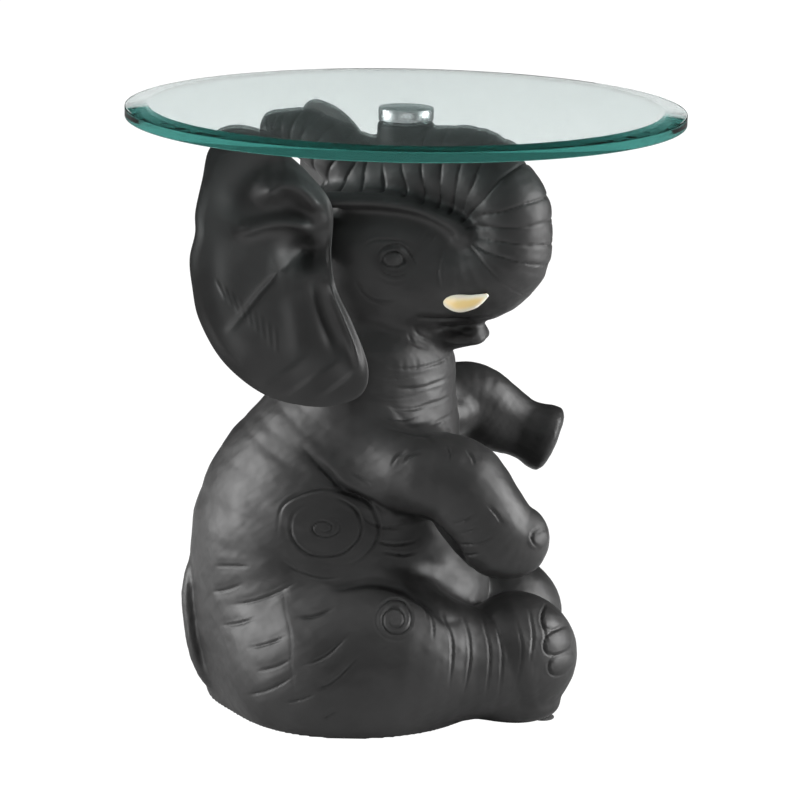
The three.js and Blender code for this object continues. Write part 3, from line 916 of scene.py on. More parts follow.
    def split(self, skin: Skin, crease: Array) -> list[bpy.types.Object]:
        """Cuts the skin into head, chest, legs and rump, each closed where it meets the next."""
        corner = skin.points[skin.faces]
        centre = corner.mean(axis=1)
        across = np.cross(corner[:, 2] - corner[:, 0], corner[:, 3] - corner[:, 1])
        normals = np.stack([np.bincount(skin.faces.ravel(), across[:, k].repeat(4), len(skin.points))
                            for k in range(3)], axis=1)
        normals /= np.maximum(np.linalg.norm(normals, axis=1), 1e-9)[:, None]
        head, chest = centre[:, 2] > self.head_from, centre[:, 2] > self.chest_from
        front = centre[:, 0] > self.seam_x
        parts = {"elephant_head": head, "elephant_chest": ~head & front & chest,
                 "elephant_legs": ~head & front & ~chest, "elephant_rump": ~head & ~front}
        pieces = []
        for name, wanted in parts.items():
            faces = skin.faces[wanted]
            used, local = np.unique(faces.ravel(), return_inverse=True)
            faces, rim = sunk_rim(local.reshape(-1, 4), len(used))
            sunk = slice(len(used), None)
            used = np.concatenate([used, used[rim]])
            points, shaded = skin.points[used], normals[used]
            points[sunk] -= self.rim_depth * shaded[sunk]
            # The crease attribute carries the depth for the painted shade in creases.
            piece = mesh_object(name, points, faces, {"crease": crease[used]})
            close_holes(piece)
            piece.data.normals_split_custom_set_from_vertices(shaded.tolist())
            pieces.append(piece)
            log.info("%s: %d faces", name, len(piece.data.polygons))
        return pieces


def sunk_rim(faces: Faces, count: int) -> tuple[Faces, Array]:
    """Adds a strip of faces from each open edge to a new row of points under the skin.

    Args:
        faces: Four-sided faces of one piece.
        count: How many points they use.

    Returns:
        All faces, and for each new point, numbered from count on, the open point it comes from.
    """
    start, stop = faces.ravel(), np.roll(faces, -1, axis=1).ravel()
    key = np.minimum(start, stop) * count + np.maximum(start, stop)
    _, place, uses = np.unique(key, return_index=True, return_counts=True)
    open_edges = place[uses == 1]
    a, b = start[open_edges], stop[open_edges]
    rim = np.unique(np.concatenate([a, b]))
    below = np.full(count, -1)
    below[rim] = count + np.arange(len(rim))
    return np.concatenate([faces, np.stack([b, a, below[a], below[b]], axis=1)]), rim


def close_holes(piece: bpy.types.Object) -> None:
    """Fills each open edge loop of a mesh with flat-shaded triangles."""
    work = bmesh.new()
    work.from_mesh(piece.data)
    edges = [edge for edge in work.edges if edge.is_boundary]
    made = bmesh.ops.holes_fill(work, edges=edges, sides=0)["faces"]
    for face in made:
        face.smooth = False
    bmesh.ops.recalc_face_normals(work, faces=list(work.faces))
    bmesh.ops.triangulate(work, faces=made)
    work.to_mesh(piece.data)
    work.free()


# ---------------------------------------------------------------------------------------------
# Ears and tusks
# ---------------------------------------------------------------------------------------------
@dataclass
class Ear:
    """Large ear: an outline filled from its rim to its middle, front and back, dished and folded.

    Attributes:
        thickness: How thick it is near its middle.
        drop: How much lower the left one hangs.
        middle: X and z of the point that the rim is filled towards.
        outline: X and z of the rim, seen from the right.
    """

    thickness: float = 9.0
    drop: float = 8.0
    middle: tuple[float, float] = (-100.0, 375.0)
    outline: tuple[tuple[float, float], ...] = (
        (-58, 385), (-53, 360), (-40, 333), (-27, 298), (-31, 276), (-52, 267), (-80, 268),
        (-112, 279), (-143, 305), (-162, 338), (-168, 366), (-170, 388), (-166, 408), (-166, 425),
        (-161, 450), (-156, 473), (-142, 483), (-122, 482), (-100, 473), (-76, 452), (-58, 426))

    def front_height(self, x: Array, z: Array) -> Array:
        """How far the folds on the outer side stand out.

        Each fold is height * exp(-(distance / width)^2) from a smooth line, given as its points,
        width and height. The two hollows are the same from a point, with a negative height.

        Args:
            x: X of the points, in an array of any shape.
            z: Z of the points, in the same shape.

        Returns:
            Heights, in that shape.
        """
        flat = np.stack([x.ravel(), z.ravel()], axis=1)
        folds = (
            (((-118, 428), (-108, 440), (-96, 446), (-82, 442), (-70, 428), (-62, 406)), 9.0, 13.0),
            (((-136, 404), (-120, 411), (-100, 415), (-83, 412), (-72, 402)), 6.0, 7.5),
            (((-58, 372), (-50, 345), (-39, 318), (-31, 290)), 4.5, 5.0),
            (((-96, 390), (-112, 374), (-130, 352), (-142, 334)), 10.0, 1.8),
            (((-88, 384), (-108, 365), (-124, 346), (-141, 326)), 2.8, -2.0),
            (((-96, 458), (-114, 456), (-130, 440), (-140, 416)), 14.0, -4.0),
            (((-72, 372), (-63, 340), (-50, 306)), 6.5, -4.0),
            (((-92, 300), (-80, 282)), 16.0, 2.2),
            (((-60, 300), (-48, 284)), 14.0, 2.4),
            (((-88, 360), (-84, 330), (-80, 305)), 9.0, -2.4),
            (((-128, 300), (-144, 330), (-152, 372), (-150, 410)), 9.0, 1.8),
        )
        total = np.zeros(len(flat))
        for path, width, height in folds:
            distance, along = line_distance(flat, smooth_path(np.array(path, float), 24))
            taper = ease(along, -0.05, 0.25) * ease(1.0 - along, -0.05, 0.25)
            total += height * np.exp(-(distance / width) ** 2) * taper
        u, v = flat[:, 0] + 79.0, flat[:, 1] - 389.0
        total += -15.0 * np.exp(-(u / 15.0) ** 2 - (v / 14.0) ** 2)
        total += -3.5 * np.exp(-((u - 4.0) / 30.0) ** 2 - ((v - 34.0) / 7.0) ** 2)
        for k in range(9):
            line = np.array([(-150 + 6 * k, 372 - 5 * k), (-140 + 5 * k, 352 - 5.5 * k)], float)
            distance, along = line_distance(flat, line)
            total -= 0.5 * np.exp(-(distance / 1.0) ** 2) * ease(along, 0, 0.3) * ease(1 - along, 0, 0.3)
        total += 0.35 * ripple(np.stack([flat[:, 0], 0 * flat[:, 0], flat[:, 1]], 1), 40.0, 0.8)
        return total.reshape(x.shape)

    def rings(self, sides: int = 300, rows: int = 150) -> Array:
        """Rings from the middle of the front round the rim to the middle of the back."""
        rim = closed_path(np.array(self.outline, float), sides)
        angle = np.linspace(0.0, np.pi, rows)[:, None]
        spread = np.sin(angle) ** 0.6
        x = self.middle[0] + (rim[:, 0] - self.middle[0]) * spread
        z = self.middle[1] + (rim[:, 1] - self.middle[1]) * spread
        slope = 0.22 * (x + 60.0) + 0.12 * (z - 440.0) + 9.0 * (1.0 - spread**2)
        inner = ease(1.0 - spread, 0.0, 0.12)
        face_side = np.cos(angle) > 0
        folds = np.where(face_side, self.front_height(x, z) * inner, 0.0)
        back = np.where(face_side, 0.0, 1.0) * inner
        root = 26.0 * np.exp(-(((x + 68.0) / 17.0) ** 2) - ((z - 404.0) / 32.0) ** 2)
        tuck = 9.0 * np.exp(-(((x + 58.0) / 9.0) ** 2) - ((z - 398.0) / 24.0) ** 2)
        waves = 2.2 * np.sin(z / 24.0 + 0.4) * (1.0 - inner) * ease(-x, 90.0, 150.0)
        y = -62.0 + slope - 0.5 * self.thickness * np.cos(angle) - folds + back * root + tuck + waves
        return np.stack([x, y, z], axis=-1)

    def build(self, side: Side) -> bpy.types.Object:
        """Makes one ear, mirrored and a little lower on the left."""
        rings = self.rings()
        # Depth of the ear's hollows, kept as the crease attribute that the resin's material darkens with
        # painted shade.
        crease = np.clip(-self.front_height(rings[..., 0], rings[..., 2]) / 9.0, 0.0, 1.0)
        if side is Side.LEFT:
            rings = FACE_PLANE.swap(rings.reshape(-1, 3)).reshape(rings.shape)
            rings = rings - np.array([0.0, 0.0, self.drop])
        return ring_surface(f"ear_{side.value}_shell", rings, True, {"crease": crease})


@dataclass
class Tusk:
    """Short milk tusk, a slim oval that tapers to its tip.

    Attributes:
        stations: Rows of x, y, z and the half sizes sideways and upwards, from root to tip.
    """

    stations: tuple[tuple[float, ...], ...] = (
        (33, -50, 351, 5, 5.5), (44, -60, 349, 6, 7.5), (54, -65, 350.5, 5.2, 6.3),
        (61, -67.5, 353.5, 4, 4.6), (67, -69, 357, 2, 2))

    def build(self, side: Side) -> bpy.types.Object:
        """Makes one tusk: oval rings along its curve, closed by a dome at each end."""
        path = smooth_path(np.array(self.stations, float), 61)
        tangent = np.gradient(path[:, :3], axis=0)
        tangent /= np.linalg.norm(tangent, axis=1)[:, None]
        across = np.array([0.0, 1.0, 0.0]) - tangent[:, 1:2] * tangent
        across /= np.linalg.norm(across, axis=1)[:, None]
        up = np.cross(tangent, across)
        dome = np.linspace(0.0, 0.5 * np.pi, 13)[:, None]
        rows = np.concatenate([np.zeros(12, int), np.arange(61), np.full(12, 60)])
        shrink = np.concatenate([np.sin(dome[:-1]), np.ones((61, 1)), np.sin(dome[-2::-1])])
        push = np.concatenate([-np.cos(dome[:-1]), np.zeros((61, 1)), np.cos(dome[-2::-1])])
        turn = full_turn(48)
        least = np.minimum(path[rows, 3], path[rows, 4])[:, None]
        centre = path[rows, :3] + push * least * tangent[rows]
        oval = (np.cos(turn)[:, None] * (path[rows, 3:4] * shrink * across[rows])[:, None]
                + np.sin(turn)[:, None] * (path[rows, 4:5] * shrink * up[rows])[:, None])
        rings = centre[:, None] + oval
        core = np.repeat((1.0 - np.abs(np.sin(turn)) ** 1.5)[None], len(rows), 0)
        along = np.concatenate([np.zeros(12), np.sin(np.linspace(0.3, 2.9, 61)), np.zeros(12)])
        core = core * along[:, None]
        if side is Side.LEFT:
            rings = FACE_PLANE.swap(rings.reshape(-1, 3)).reshape(rings.shape)
        return ring_surface(f"tusk_{side.value}_inlay", rings, True, {"core": core})


# ---------------------------------------------------------------------------------------------
# Glass top, its fixing and the base
# ---------------------------------------------------------------------------------------------
@dataclass
class TopFixing:
    """Round glass top on a turned disc, with the stud, insert and washer that fix it to the post.

    Attributes:
        height: Height of the table.
        radius: Radius of the glass.
        glass: Thickness of the glass.
        bevel: Width and height of its bevel.
        disc: Radius and height of the disc.
        gap: Thickness of each glue line.
    """

    height: float = 500.0
    radius: float = 228.5
    glass: float = 10.0
    bevel: tuple[float, float] = (19.0, 1.5)
    disc: tuple[float, float] = (22.5, 10.0)
    gap: float = 0.3

    @property
    def disc_bottom(self) -> float:
        """Height of the disc's lower face."""
        return self.height - self.glass - self.gap - self.disc[1]

    def glass_profile(self) -> Array:
        """Half section: flat below, rounded arrises, a bevel sloping up to the flat top."""
        low, rim = self.height - self.glass, self.height - self.bevel[1]
        r = self.radius
        inner = r - self.bevel[0]
        return np.vstack([
            [[0, low], [0.5 * r, low], [r - 1.2, low]], arc((r - 0.6, low + 0.6), 0.6, -90, 0, 5),
            arc((r - 0.6, rim - 0.6), 0.6, 0, 86, 5), [[r - 1.6, rim + 0.05]],
            [[inner + 0.6, self.height - 0.05], [inner, self.height], [inner - 0.6, self.height]],
            [[0.5 * r, self.height], [0, self.height]]])

    def build_glass(self) -> bpy.types.Object:
        """Round top with its ground bevel."""
        return sharpened(ring_surface("glass_round", turned_rings(self.glass_profile(), 288)), 1.5)

    def build_disc(self) -> bpy.types.Object:
        """Turned disc with rounded edges, fine turning marks and a blind hole for the stud."""
        r, low = self.disc[0], self.disc_bottom
        top = low + self.disc[1]
        marks = np.linspace(0.5, r - 0.7, 60)
        profile = np.vstack([
            [[0, low + 4.3], [5.3, low + 4.3], [5.3, low], [r - 0.6, low]],
            arc((r - 0.6, low + 0.6), 0.6, -90, 0, 5), arc((r - 0.6, top - 0.6), 0.6, 0, 90, 5),
            np.stack([marks[::-1], top - 0.015 * (np.arange(60) % 2)], axis=1), [[0, top]]])
        return sharpened(ring_surface("disc_turned", turned_rings(profile, 128)), 35.0)

    def build_stud(self) -> bpy.types.Object:
        """M10 stud with a 1.5 mm thread: r = 4.6 + 0.4 (1 - 2 |2 f - 1|), with f the share of a turn."""
        top, pitch, sides = self.disc_bottom + 4.0, 1.5, 36
        z = np.linspace(top - 24.0, top, 193)[:, None]
        a = full_turn(sides)
        share = (z / pitch - a / (2 * np.pi)) % 1.0
        wave = 1.0 - 2.0 * np.abs(2.0 * share - 1.0)
        r = 4.6 + 0.4 * wave * ease(z - z[0], 0, pitch) * ease(z[-1] - z, 0, pitch)
        rings = polar_rings(r, a, z)
        ends = [np.repeat([[[0.0, 0.0, float(h)]]], sides, 1) for h in (z[0, 0], z[-1, 0])]
        return sharpened(ring_surface("stud_threaded", np.concatenate([ends[0], rings, ends[1]])), 50.0)

    def build_washer(self) -> bpy.types.Object:
        """Soft washer with rounded edges."""
        low = self.disc_bottom - self.gap - 1.5
        profile = np.vstack([arc((20.75, low + 0.75), 0.75, -90, 90, 9),
                             arc((6.4, low + 1.1), 0.4, 90, 180, 4),
                             arc((6.4, low + 0.4), 0.4, 180, 270, 4)])
        return ring_surface("washer_soft", turned_rings(profile, 96), poles=False)

    def build_insert(self) -> bpy.types.Object:
        """Threaded insert with knurled bands, open right through."""
        top = POST_TOP - self.gap
        a = full_turn(144)
        outside, inside = np.linspace(top - 23.7, top - 0.3, 80), np.linspace(top, top - 24.0, 40)
        z = np.concatenate([outside, inside])[:, None]
        band = (np.abs(z - top + 6) < 4) | (np.abs(z - top + 18) < 4)
        outer = 7.8 - 0.35 * band * (np.abs(np.sin(18 * a)) ** 0.6) - 0.5 * (np.abs(z - top + 12) < 1.2)
        r = np.where(np.arange(len(z))[:, None] < len(outside), outer, 5.4)
        return sharpened(ring_surface("insert_knurled", polar_rings(r, a, z), poles=False), 40.0)


@dataclass
class Base:
    """Oval base plate and the felt pads that the sculpture stands on.

    Attributes:
        centre: X of the middle of the plate.
        half: Half sizes of the plate along X and Y.
        pads: X and y of each pad.
    """

    centre: float = -45.0
    half: tuple[float, float] = (88.0, 75.0)
    pads: tuple[tuple[float, float], ...] = ((-146, 0), (-34, -104), (-34, 104), (122, -60), (113, 60))

    def build_plate(self) -> bpy.types.Object:
        """Board with slightly rounded edges: an oval profile from its middle out and back."""
        share = np.array([0.0, 0.5, 0.985, 0.996, 1.0, 1.0, 0.996, 0.985, 0.5, 0.0])[:, None]
        z = np.array([1.8, 1.8, 1.8, 1.95, 2.4, 5.2, 5.65, 5.8, 5.8, 5.8])[:, None]
        a = full_turn(160)
        rings = np.stack([self.centre + self.half[0] * share * np.cos(a),
                          self.half[1] * share * np.sin(a), z + 0 * a], axis=-1)
        return ring_surface("base_board", rings)

    def build_pads(self) -> list[bpy.types.Object]:
        """Round felt pads with soft edges."""
        profile = np.vstack([[[0, 0], [5, 0], [9.2, 0]], arc((9.25, 0.7), 0.7, -80, 80, 7),
                             [[9.2, 1.5], [5, 1.5], [0, 1.5]]])
        profile[:, 0] = np.minimum(profile[:, 0], 10.0)
        rings = turned_rings(profile, 64)
        return [ring_surface(f"felt_{k}", rings + np.array([x, y, 0.0]))
                for k, (x, y) in enumerate(self.pads, 1)]


def sharpened(piece: bpy.types.Object, degrees: float) -> bpy.types.Object:
    """Keeps edges sharper than an angle crisp."""
    piece.data.set_sharp_from_angle(angle=math.radians(degrees))
    return piece


# ---------------------------------------------------------------------------------------------
# Finishes
# ---------------------------------------------------------------------------------------------
Color = tuple[float, float, float]
WHITE: Color = (1.0, 1.0, 1.0)


class Nodes:
    """Adds nodes to a tree and links them."""

    def __init__(self, tree: bpy.types.NodeTree) -> None:
        """Starts on a tree."""
        self.tree = tree

    def add(self, kind: str, inputs: dict[str | int, object] | None = None,
            **settings: object) -> bpy.types.Node:
        """New node. A socket among the inputs is linked, and anything else is set as its value."""
        node = self.tree.nodes.new(kind)
        for name, value in settings.items():
            setattr(node, name, value)
        for name, value in (inputs or {}).items():
            if isinstance(value, bpy.types.NodeSocket):
                self.tree.links.new(value, node.inputs[name])
            else:
                node.inputs[name].default_value = value
        return node

    def noise(self, where: bpy.types.NodeSocket, scale: float, detail: float = 3.0) -> bpy.types.NodeSocket:
        """Noise value from 0 to 1 on given coordinates."""
        return self.add("ShaderNodeTexNoise", {"Vector": where, "Scale": scale, "Detail": detail}).outputs[0]

    def math(self, operation: str, a: object, b: object = 0.0) -> bpy.types.NodeSocket:
        """One arithmetic step."""
        return self.add("ShaderNodeMath", {0: a, 1: b}, operation=operation).outputs[0]

    def spread(self, value: object, low: float, high: float,
               to_low: object, to_high: object) -> bpy.types.NodeSocket:
        """Value moved smoothly from one range to another, and held at its ends."""
        return self.add("ShaderNodeMapRange", {0: value, 1: low, 2: high, 3: to_low, 4: to_high},
                        interpolation_type="SMOOTHSTEP").outputs[0]

    def mix(self, share: object, first: object, second: object) -> bpy.types.NodeSocket:
        """Colour between two colours."""
        node = self.add("ShaderNodeMix", {0: share, 6: first, 7: second}, data_type="RGBA")
        return node.outputs[2]


def empty_nodes(owner: bpy.types.Material | bpy.types.World) -> Nodes:
    """Gives a material or a world an empty node tree to build in."""
    owner.use_nodes = True
    owner.node_tree.nodes.clear()
    return Nodes(owner.node_tree)


def new_material(name: str) -> tuple[bpy.types.Material, Nodes, bpy.types.NodeSocket]:
    """Empty material, its nodes, and the socket of the piece's own coordinates."""
    made = bpy.data.materials.new(name)
    nodes = empty_nodes(made)
    return made, nodes, nodes.add("ShaderNodeTexCoord").outputs["Object"]


def rgba(color: Color) -> tuple[float, float, float, float]:
    """Colour with full alpha."""
    return (*color, 1.0)


def cast_surface_group() -> bpy.types.NodeTree:
    """Node group of a cast, painted surface: clouded shade, fine grain, and pits here and there."""
    tree = bpy.data.node_groups.new("cast_surface", "ShaderNodeTree")
    tree.interface.new_socket("Vector", in_out="INPUT", socket_type="NodeSocketVector")
    tree.interface.new_socket("Grain Scale", in_out="INPUT", socket_type="NodeSocketFloat")
    for name in ("Cloud", "Height", "Polish"):
        tree.interface.new_socket(name, in_out="OUTPUT", socket_type="NodeSocketFloat")
    nodes = Nodes(tree)
    given = nodes.add("NodeGroupInput").outputs
    cloud = nodes.noise(given["Vector"], 14.0, 4.0)
    grain = nodes.noise(nodes.add("ShaderNodeVectorMath", {0: given["Vector"], 3: given["Grain Scale"]},
                                  operation="SCALE").outputs[0], 1.0, 4.0)
    pits = nodes.add("ShaderNodeTexVoronoi", {"Vector": given["Vector"], "Scale": 160.0}).outputs[0]
    pit = nodes.spread(pits, 0.0, 0.12, 1.0, 0.0)
    patch = nodes.spread(nodes.noise(given["Vector"], 22.0, 2.0), 0.60, 0.72, 0.0, 1.0)
    height = nodes.math("SUBTRACT", nodes.math("MULTIPLY", grain, 0.5), nodes.math("MULTIPLY", pit, patch))
    polish = nodes.noise(given["Vector"], 38.0, 3.0)
    nodes.add("NodeGroupOutput", {"Cloud": cloud, "Height": height, "Polish": polish})
    return tree


@dataclass(frozen=True)
class CastFinish:
    """Painted cast surface: two shades clouded over it, painted shade that darkens the creases, worn fine
    grain.

    Attributes:
        name: The material's name.
        dark: Darker shade.
        light: Lighter shade.
        roughness: Least and most roughness.
        specular: Specular level.
        grain: How many grains there are in a metre.
        bump: Strength of the grain and pits.
        crease_shade: Share of the darker shade left as painted shade in a crease.
    """

    name: str
    dark: Color
    light: Color
    roughness: tuple[float, float]
    specular: float = 0.5
    grain: float = 900.0
    bump: float = 0.10
    crease_shade: float = 0.35

    def material(self, surface: bpy.types.NodeTree) -> bpy.types.Material:
        """Builds the material on the shared cast surface group."""
        made, nodes, where = new_material(self.name)
        group = nodes.add("ShaderNodeGroup", {"Vector": where, "Grain Scale": self.grain}, node_tree=surface)
        share = nodes.spread(group.outputs["Cloud"], 0.30, 0.72, 0.0, 1.0)
        tone = nodes.mix(share, rgba(self.dark), rgba(self.light))
        crease = nodes.add("ShaderNodeAttribute", attribute_name="crease").outputs["Fac"]
        # Painted shade: the crease attribute pulls the tone towards a darker copy of the dark shade in
        # hollows.
        painted_crease_shade = tuple(self.crease_shade * value for value in self.dark)
        color = nodes.mix(nodes.spread(crease, 0.15, 0.9, 0.0, 1.0), tone, rgba(painted_crease_shade))
        low, high = self.roughness
        rough = nodes.spread(group.outputs["Polish"], 0.3, 0.7, low, high)
        bump = nodes.add("ShaderNodeBump", {"Height": group.outputs["Height"], "Distance": 0.0004,
                                            "Strength": self.bump}).outputs[0]
        shader = nodes.add("ShaderNodeBsdfPrincipled", {
            "Base Color": color, "Roughness": rough, "Normal": bump, "Specular IOR Level": self.specular})
        nodes.add("ShaderNodeOutputMaterial", {"Surface": shader.outputs[0]})
        return made


@dataclass(frozen=True)
class IvoryFinish:
    """Painted ivory with a golden middle, from the piece's core attribute."""

    edge: Color = (0.88, 0.83, 0.70)
    core: Color = (0.84, 0.62, 0.26)
    grain: float = 1400.0

    def material(self, surface: bpy.types.NodeTree) -> bpy.types.Material:
        """Builds the material."""
        made, nodes, where = new_material("tusk_ivory_paint")
        group = nodes.add("ShaderNodeGroup", {"Vector": where, "Grain Scale": self.grain}, node_tree=surface)
        core = nodes.add("ShaderNodeAttribute", attribute_name="core").outputs["Fac"]
        blotch = nodes.math("MULTIPLY", core, nodes.spread(group.outputs["Polish"], 0.2, 0.7, 0.75, 1.15))
        color = nodes.mix(nodes.spread(blotch, 0.15, 0.95, 0.0, 1.0), rgba(self.edge), rgba(self.core))
        rough = nodes.spread(group.outputs["Cloud"], 0.3, 0.7, 0.32, 0.48)
        bump = nodes.add("ShaderNodeBump", {"Height": group.outputs["Height"], "Distance": 0.0002,
                                            "Strength": 0.1}).outputs[0]
        shader = nodes.add("ShaderNodeBsdfPrincipled", {
            "Base Color": color, "Roughness": rough, "Normal": bump, "Subsurface Weight": 0.1,
            "Subsurface Scale": 0.004})
        nodes.add("ShaderNodeOutputMaterial", {"Surface": shader.outputs[0]})
        return made


@dataclass(frozen=True)
class GlassFinish:
    """Clear float glass: green where light runs a long way inside it."""

    absorption: Color = (0.21, 0.56, 0.53)
    density: float = 11.0
    index: float = 1.52

    def material(self) -> bpy.types.Material:
        """Builds the material: it lets shadow rays through, with faint wiping marks in its gloss."""
        made, nodes, where = new_material("clear_glass_bevelled")
        rough = nodes.spread(nodes.noise(where, 9.0, 5.0), 0.45, 0.75, 0.0, 0.012)
        shader = nodes.add("ShaderNodeBsdfPrincipled", {
            "Base Color": rgba((0.985, 1.0, 0.995)), "Roughness": rough, "IOR": self.index,
            "Transmission Weight": 1.0}).outputs[0]
        clear = nodes.add("ShaderNodeBsdfTransparent", {"Color": rgba((0.86, 0.92, 0.91))}).outputs[0]
        shadow = nodes.add("ShaderNodeLightPath").outputs["Is Shadow Ray"]
        mixed = nodes.add("ShaderNodeMixShader", {0: shadow, 1: shader, 2: clear}).outputs[0]
        volume = nodes.add("ShaderNodeVolumeAbsorption", {
            "Color": rgba(self.absorption), "Density": self.density}).outputs[0]
        nodes.add("ShaderNodeOutputMaterial", {"Surface": mixed, "Volume": volume})
        return made


@dataclass(frozen=True)
class MetalFinish:
    """Turned metal: fine rings round Z, and gloss stretched across them.

    Attributes:
        name: The material's name.
        color: Colour on the rings.
        roughness: Middle roughness.
        rings: Scale of the ring pattern.
        anisotropy: How far the gloss is stretched.
    """

    name: str
    color: Color
    roughness: float
    rings: float = 120.0
    anisotropy: float = 0.7

    def material(self) -> bpy.types.Material:
        """Builds the material: rings are a wave texture on the distance from the Z axis."""
        made, nodes, where = new_material(self.name)
        rings = nodes.add("ShaderNodeTexWave", {
            "Vector": where, "Scale": self.rings, "Distortion": 1.5, "Detail": 2.0, "Detail Scale": 2.0},
            wave_type="RINGS", rings_direction="Z").outputs["Fac"]
        smudge = nodes.noise(where, 60.0, 4.0)
        rough = nodes.spread(smudge, 0.3, 0.75, self.roughness * 0.8, self.roughness * 1.3)
        darker = tuple(0.86 * value for value in self.color)
        tone = nodes.mix(rings, rgba(darker), rgba(self.color))
        bump = nodes.add("ShaderNodeBump", {
            "Height": rings, "Distance": 0.00004, "Strength": 0.25}).outputs[0]
        tangent = nodes.add("ShaderNodeTangent", direction_type="RADIAL", axis="Z").outputs[0]
        shader = nodes.add("ShaderNodeBsdfPrincipled", {
            "Base Color": tone, "Metallic": 1.0, "Roughness": rough, "Normal": bump,
            "Anisotropic": self.anisotropy, "Tangent": tangent})
        nodes.add("ShaderNodeOutputMaterial", {"Surface": shader.outputs[0]})
        return made


def build_finishes() -> dict[str, bpy.types.Material]:
    """Makes every material of the object, by the name of its slot."""
    surface = cast_surface_group()
    cast = {
        "cast_resin": CastFinish("black_cast_resin", (0.0105, 0.0103, 0.0103), (0.019, 0.0185, 0.0185),
                                 (0.43, 0.56)),
        "tusk_ivory": IvoryFinish(),
        "base_board": CastFinish("base_board_black", (0.018, 0.017, 0.016), (0.030, 0.028, 0.026),
                                 (0.6, 0.8), grain=500.0, bump=0.4),
        "pad_felt": CastFinish("pad_felt_grey", (0.05, 0.05, 0.05), (0.11, 0.11, 0.11),
                               (0.9, 1.0), specular=0.1, grain=2600.0, bump=0.9),
        "washer_rubber": CastFinish("washer_rubber_black", (0.012, 0.012, 0.012), (0.02, 0.02, 0.02),
                                    (0.65, 0.8), specular=0.4, grain=1500.0, bump=0.2),
    }
    plain = {
        "clear_glass": GlassFinish(),
        "turned_metal": MetalFinish("turned_metal", (0.90, 0.91, 0.92), 0.30),
        "stud_steel": MetalFinish("stud_steel", (0.62, 0.63, 0.65), 0.28, rings=60.0, anisotropy=0.3),
        "insert_brass": MetalFinish("insert_brass", (0.72, 0.52, 0.22), 0.3, rings=80.0, anisotropy=0.2),
    }
    made = {slot: finish.material(surface) for slot, finish in cast.items()}
    return made | {slot: finish.material() for slot, finish in plain.items()}


def dress(piece: bpy.types.Object, finishes: dict[str, bpy.types.Material], body: str, slot: str,
          nodes: tuple[str, ...] = ()) -> None:
    """Gives a piece the material of its slot, parents it to its body and hides the CAD nodes it stands for.
    """
    piece.data.materials.clear()
    piece.data.materials.append(finishes[slot])
    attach(piece, body)
    if nodes:
        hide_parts(*nodes)
    log.info("%s rides on %s, %d faces", piece.name, body, len(piece.data.polygons))


# ---------------------------------------------------------------------------------------------
# Studio
# ---------------------------------------------------------------------------------------------
@dataclass(frozen=True)
class Softbox:
    """Rectangular light that looks at the middle of the object: place and size in metres, power in watts."""

    name: str
    place: tuple[float, float, float]
    size: tuple[float, float]
    power: float

    def build(self, lit: bpy.types.Collection) -> None:
        """Makes the light, for the things in one collection only."""
        data = bpy.data.lights.new(self.name, "AREA")
        data.shape, data.energy = "RECTANGLE", self.power
        data.size, data.size_y = self.size
        light = bpy.data.objects.new(self.name, data)
        light.location = self.place
        light.visible_transmission = False
        light.light_linking.receiver_collection = lit
        aim = Vector((0.0, 0.0, 0.25)) - Vector(self.place)
        light.rotation_euler = aim.to_track_quat("-Z", "Y").to_euler()
        bpy.context.scene.collection.objects.link(light)


SOFTBOXES = (
    Softbox("left_softbox", (-2.1, -0.2, 0.8), (1.7, 1.8), 80.0),
    Softbox("right_softbox", (2.1, -0.2, 0.9), (1.5, 1.8), 85.0),
    Softbox("top_softbox", (-0.2, -0.6, 2.2), (1.6, 1.2), 14.0),
    Softbox("front_softbox", (0.3, -3.4, 1.9), (2.4, 1.2), 7.0),
)
CARDS = (
    Softbox("front_card", (0.0, -2.4, 0.30), (2.4, 0.8), 9.0),
    Softbox("back_card", (0.0, 2.4, 1.10), (2.4, 1.2), 16.0),
)


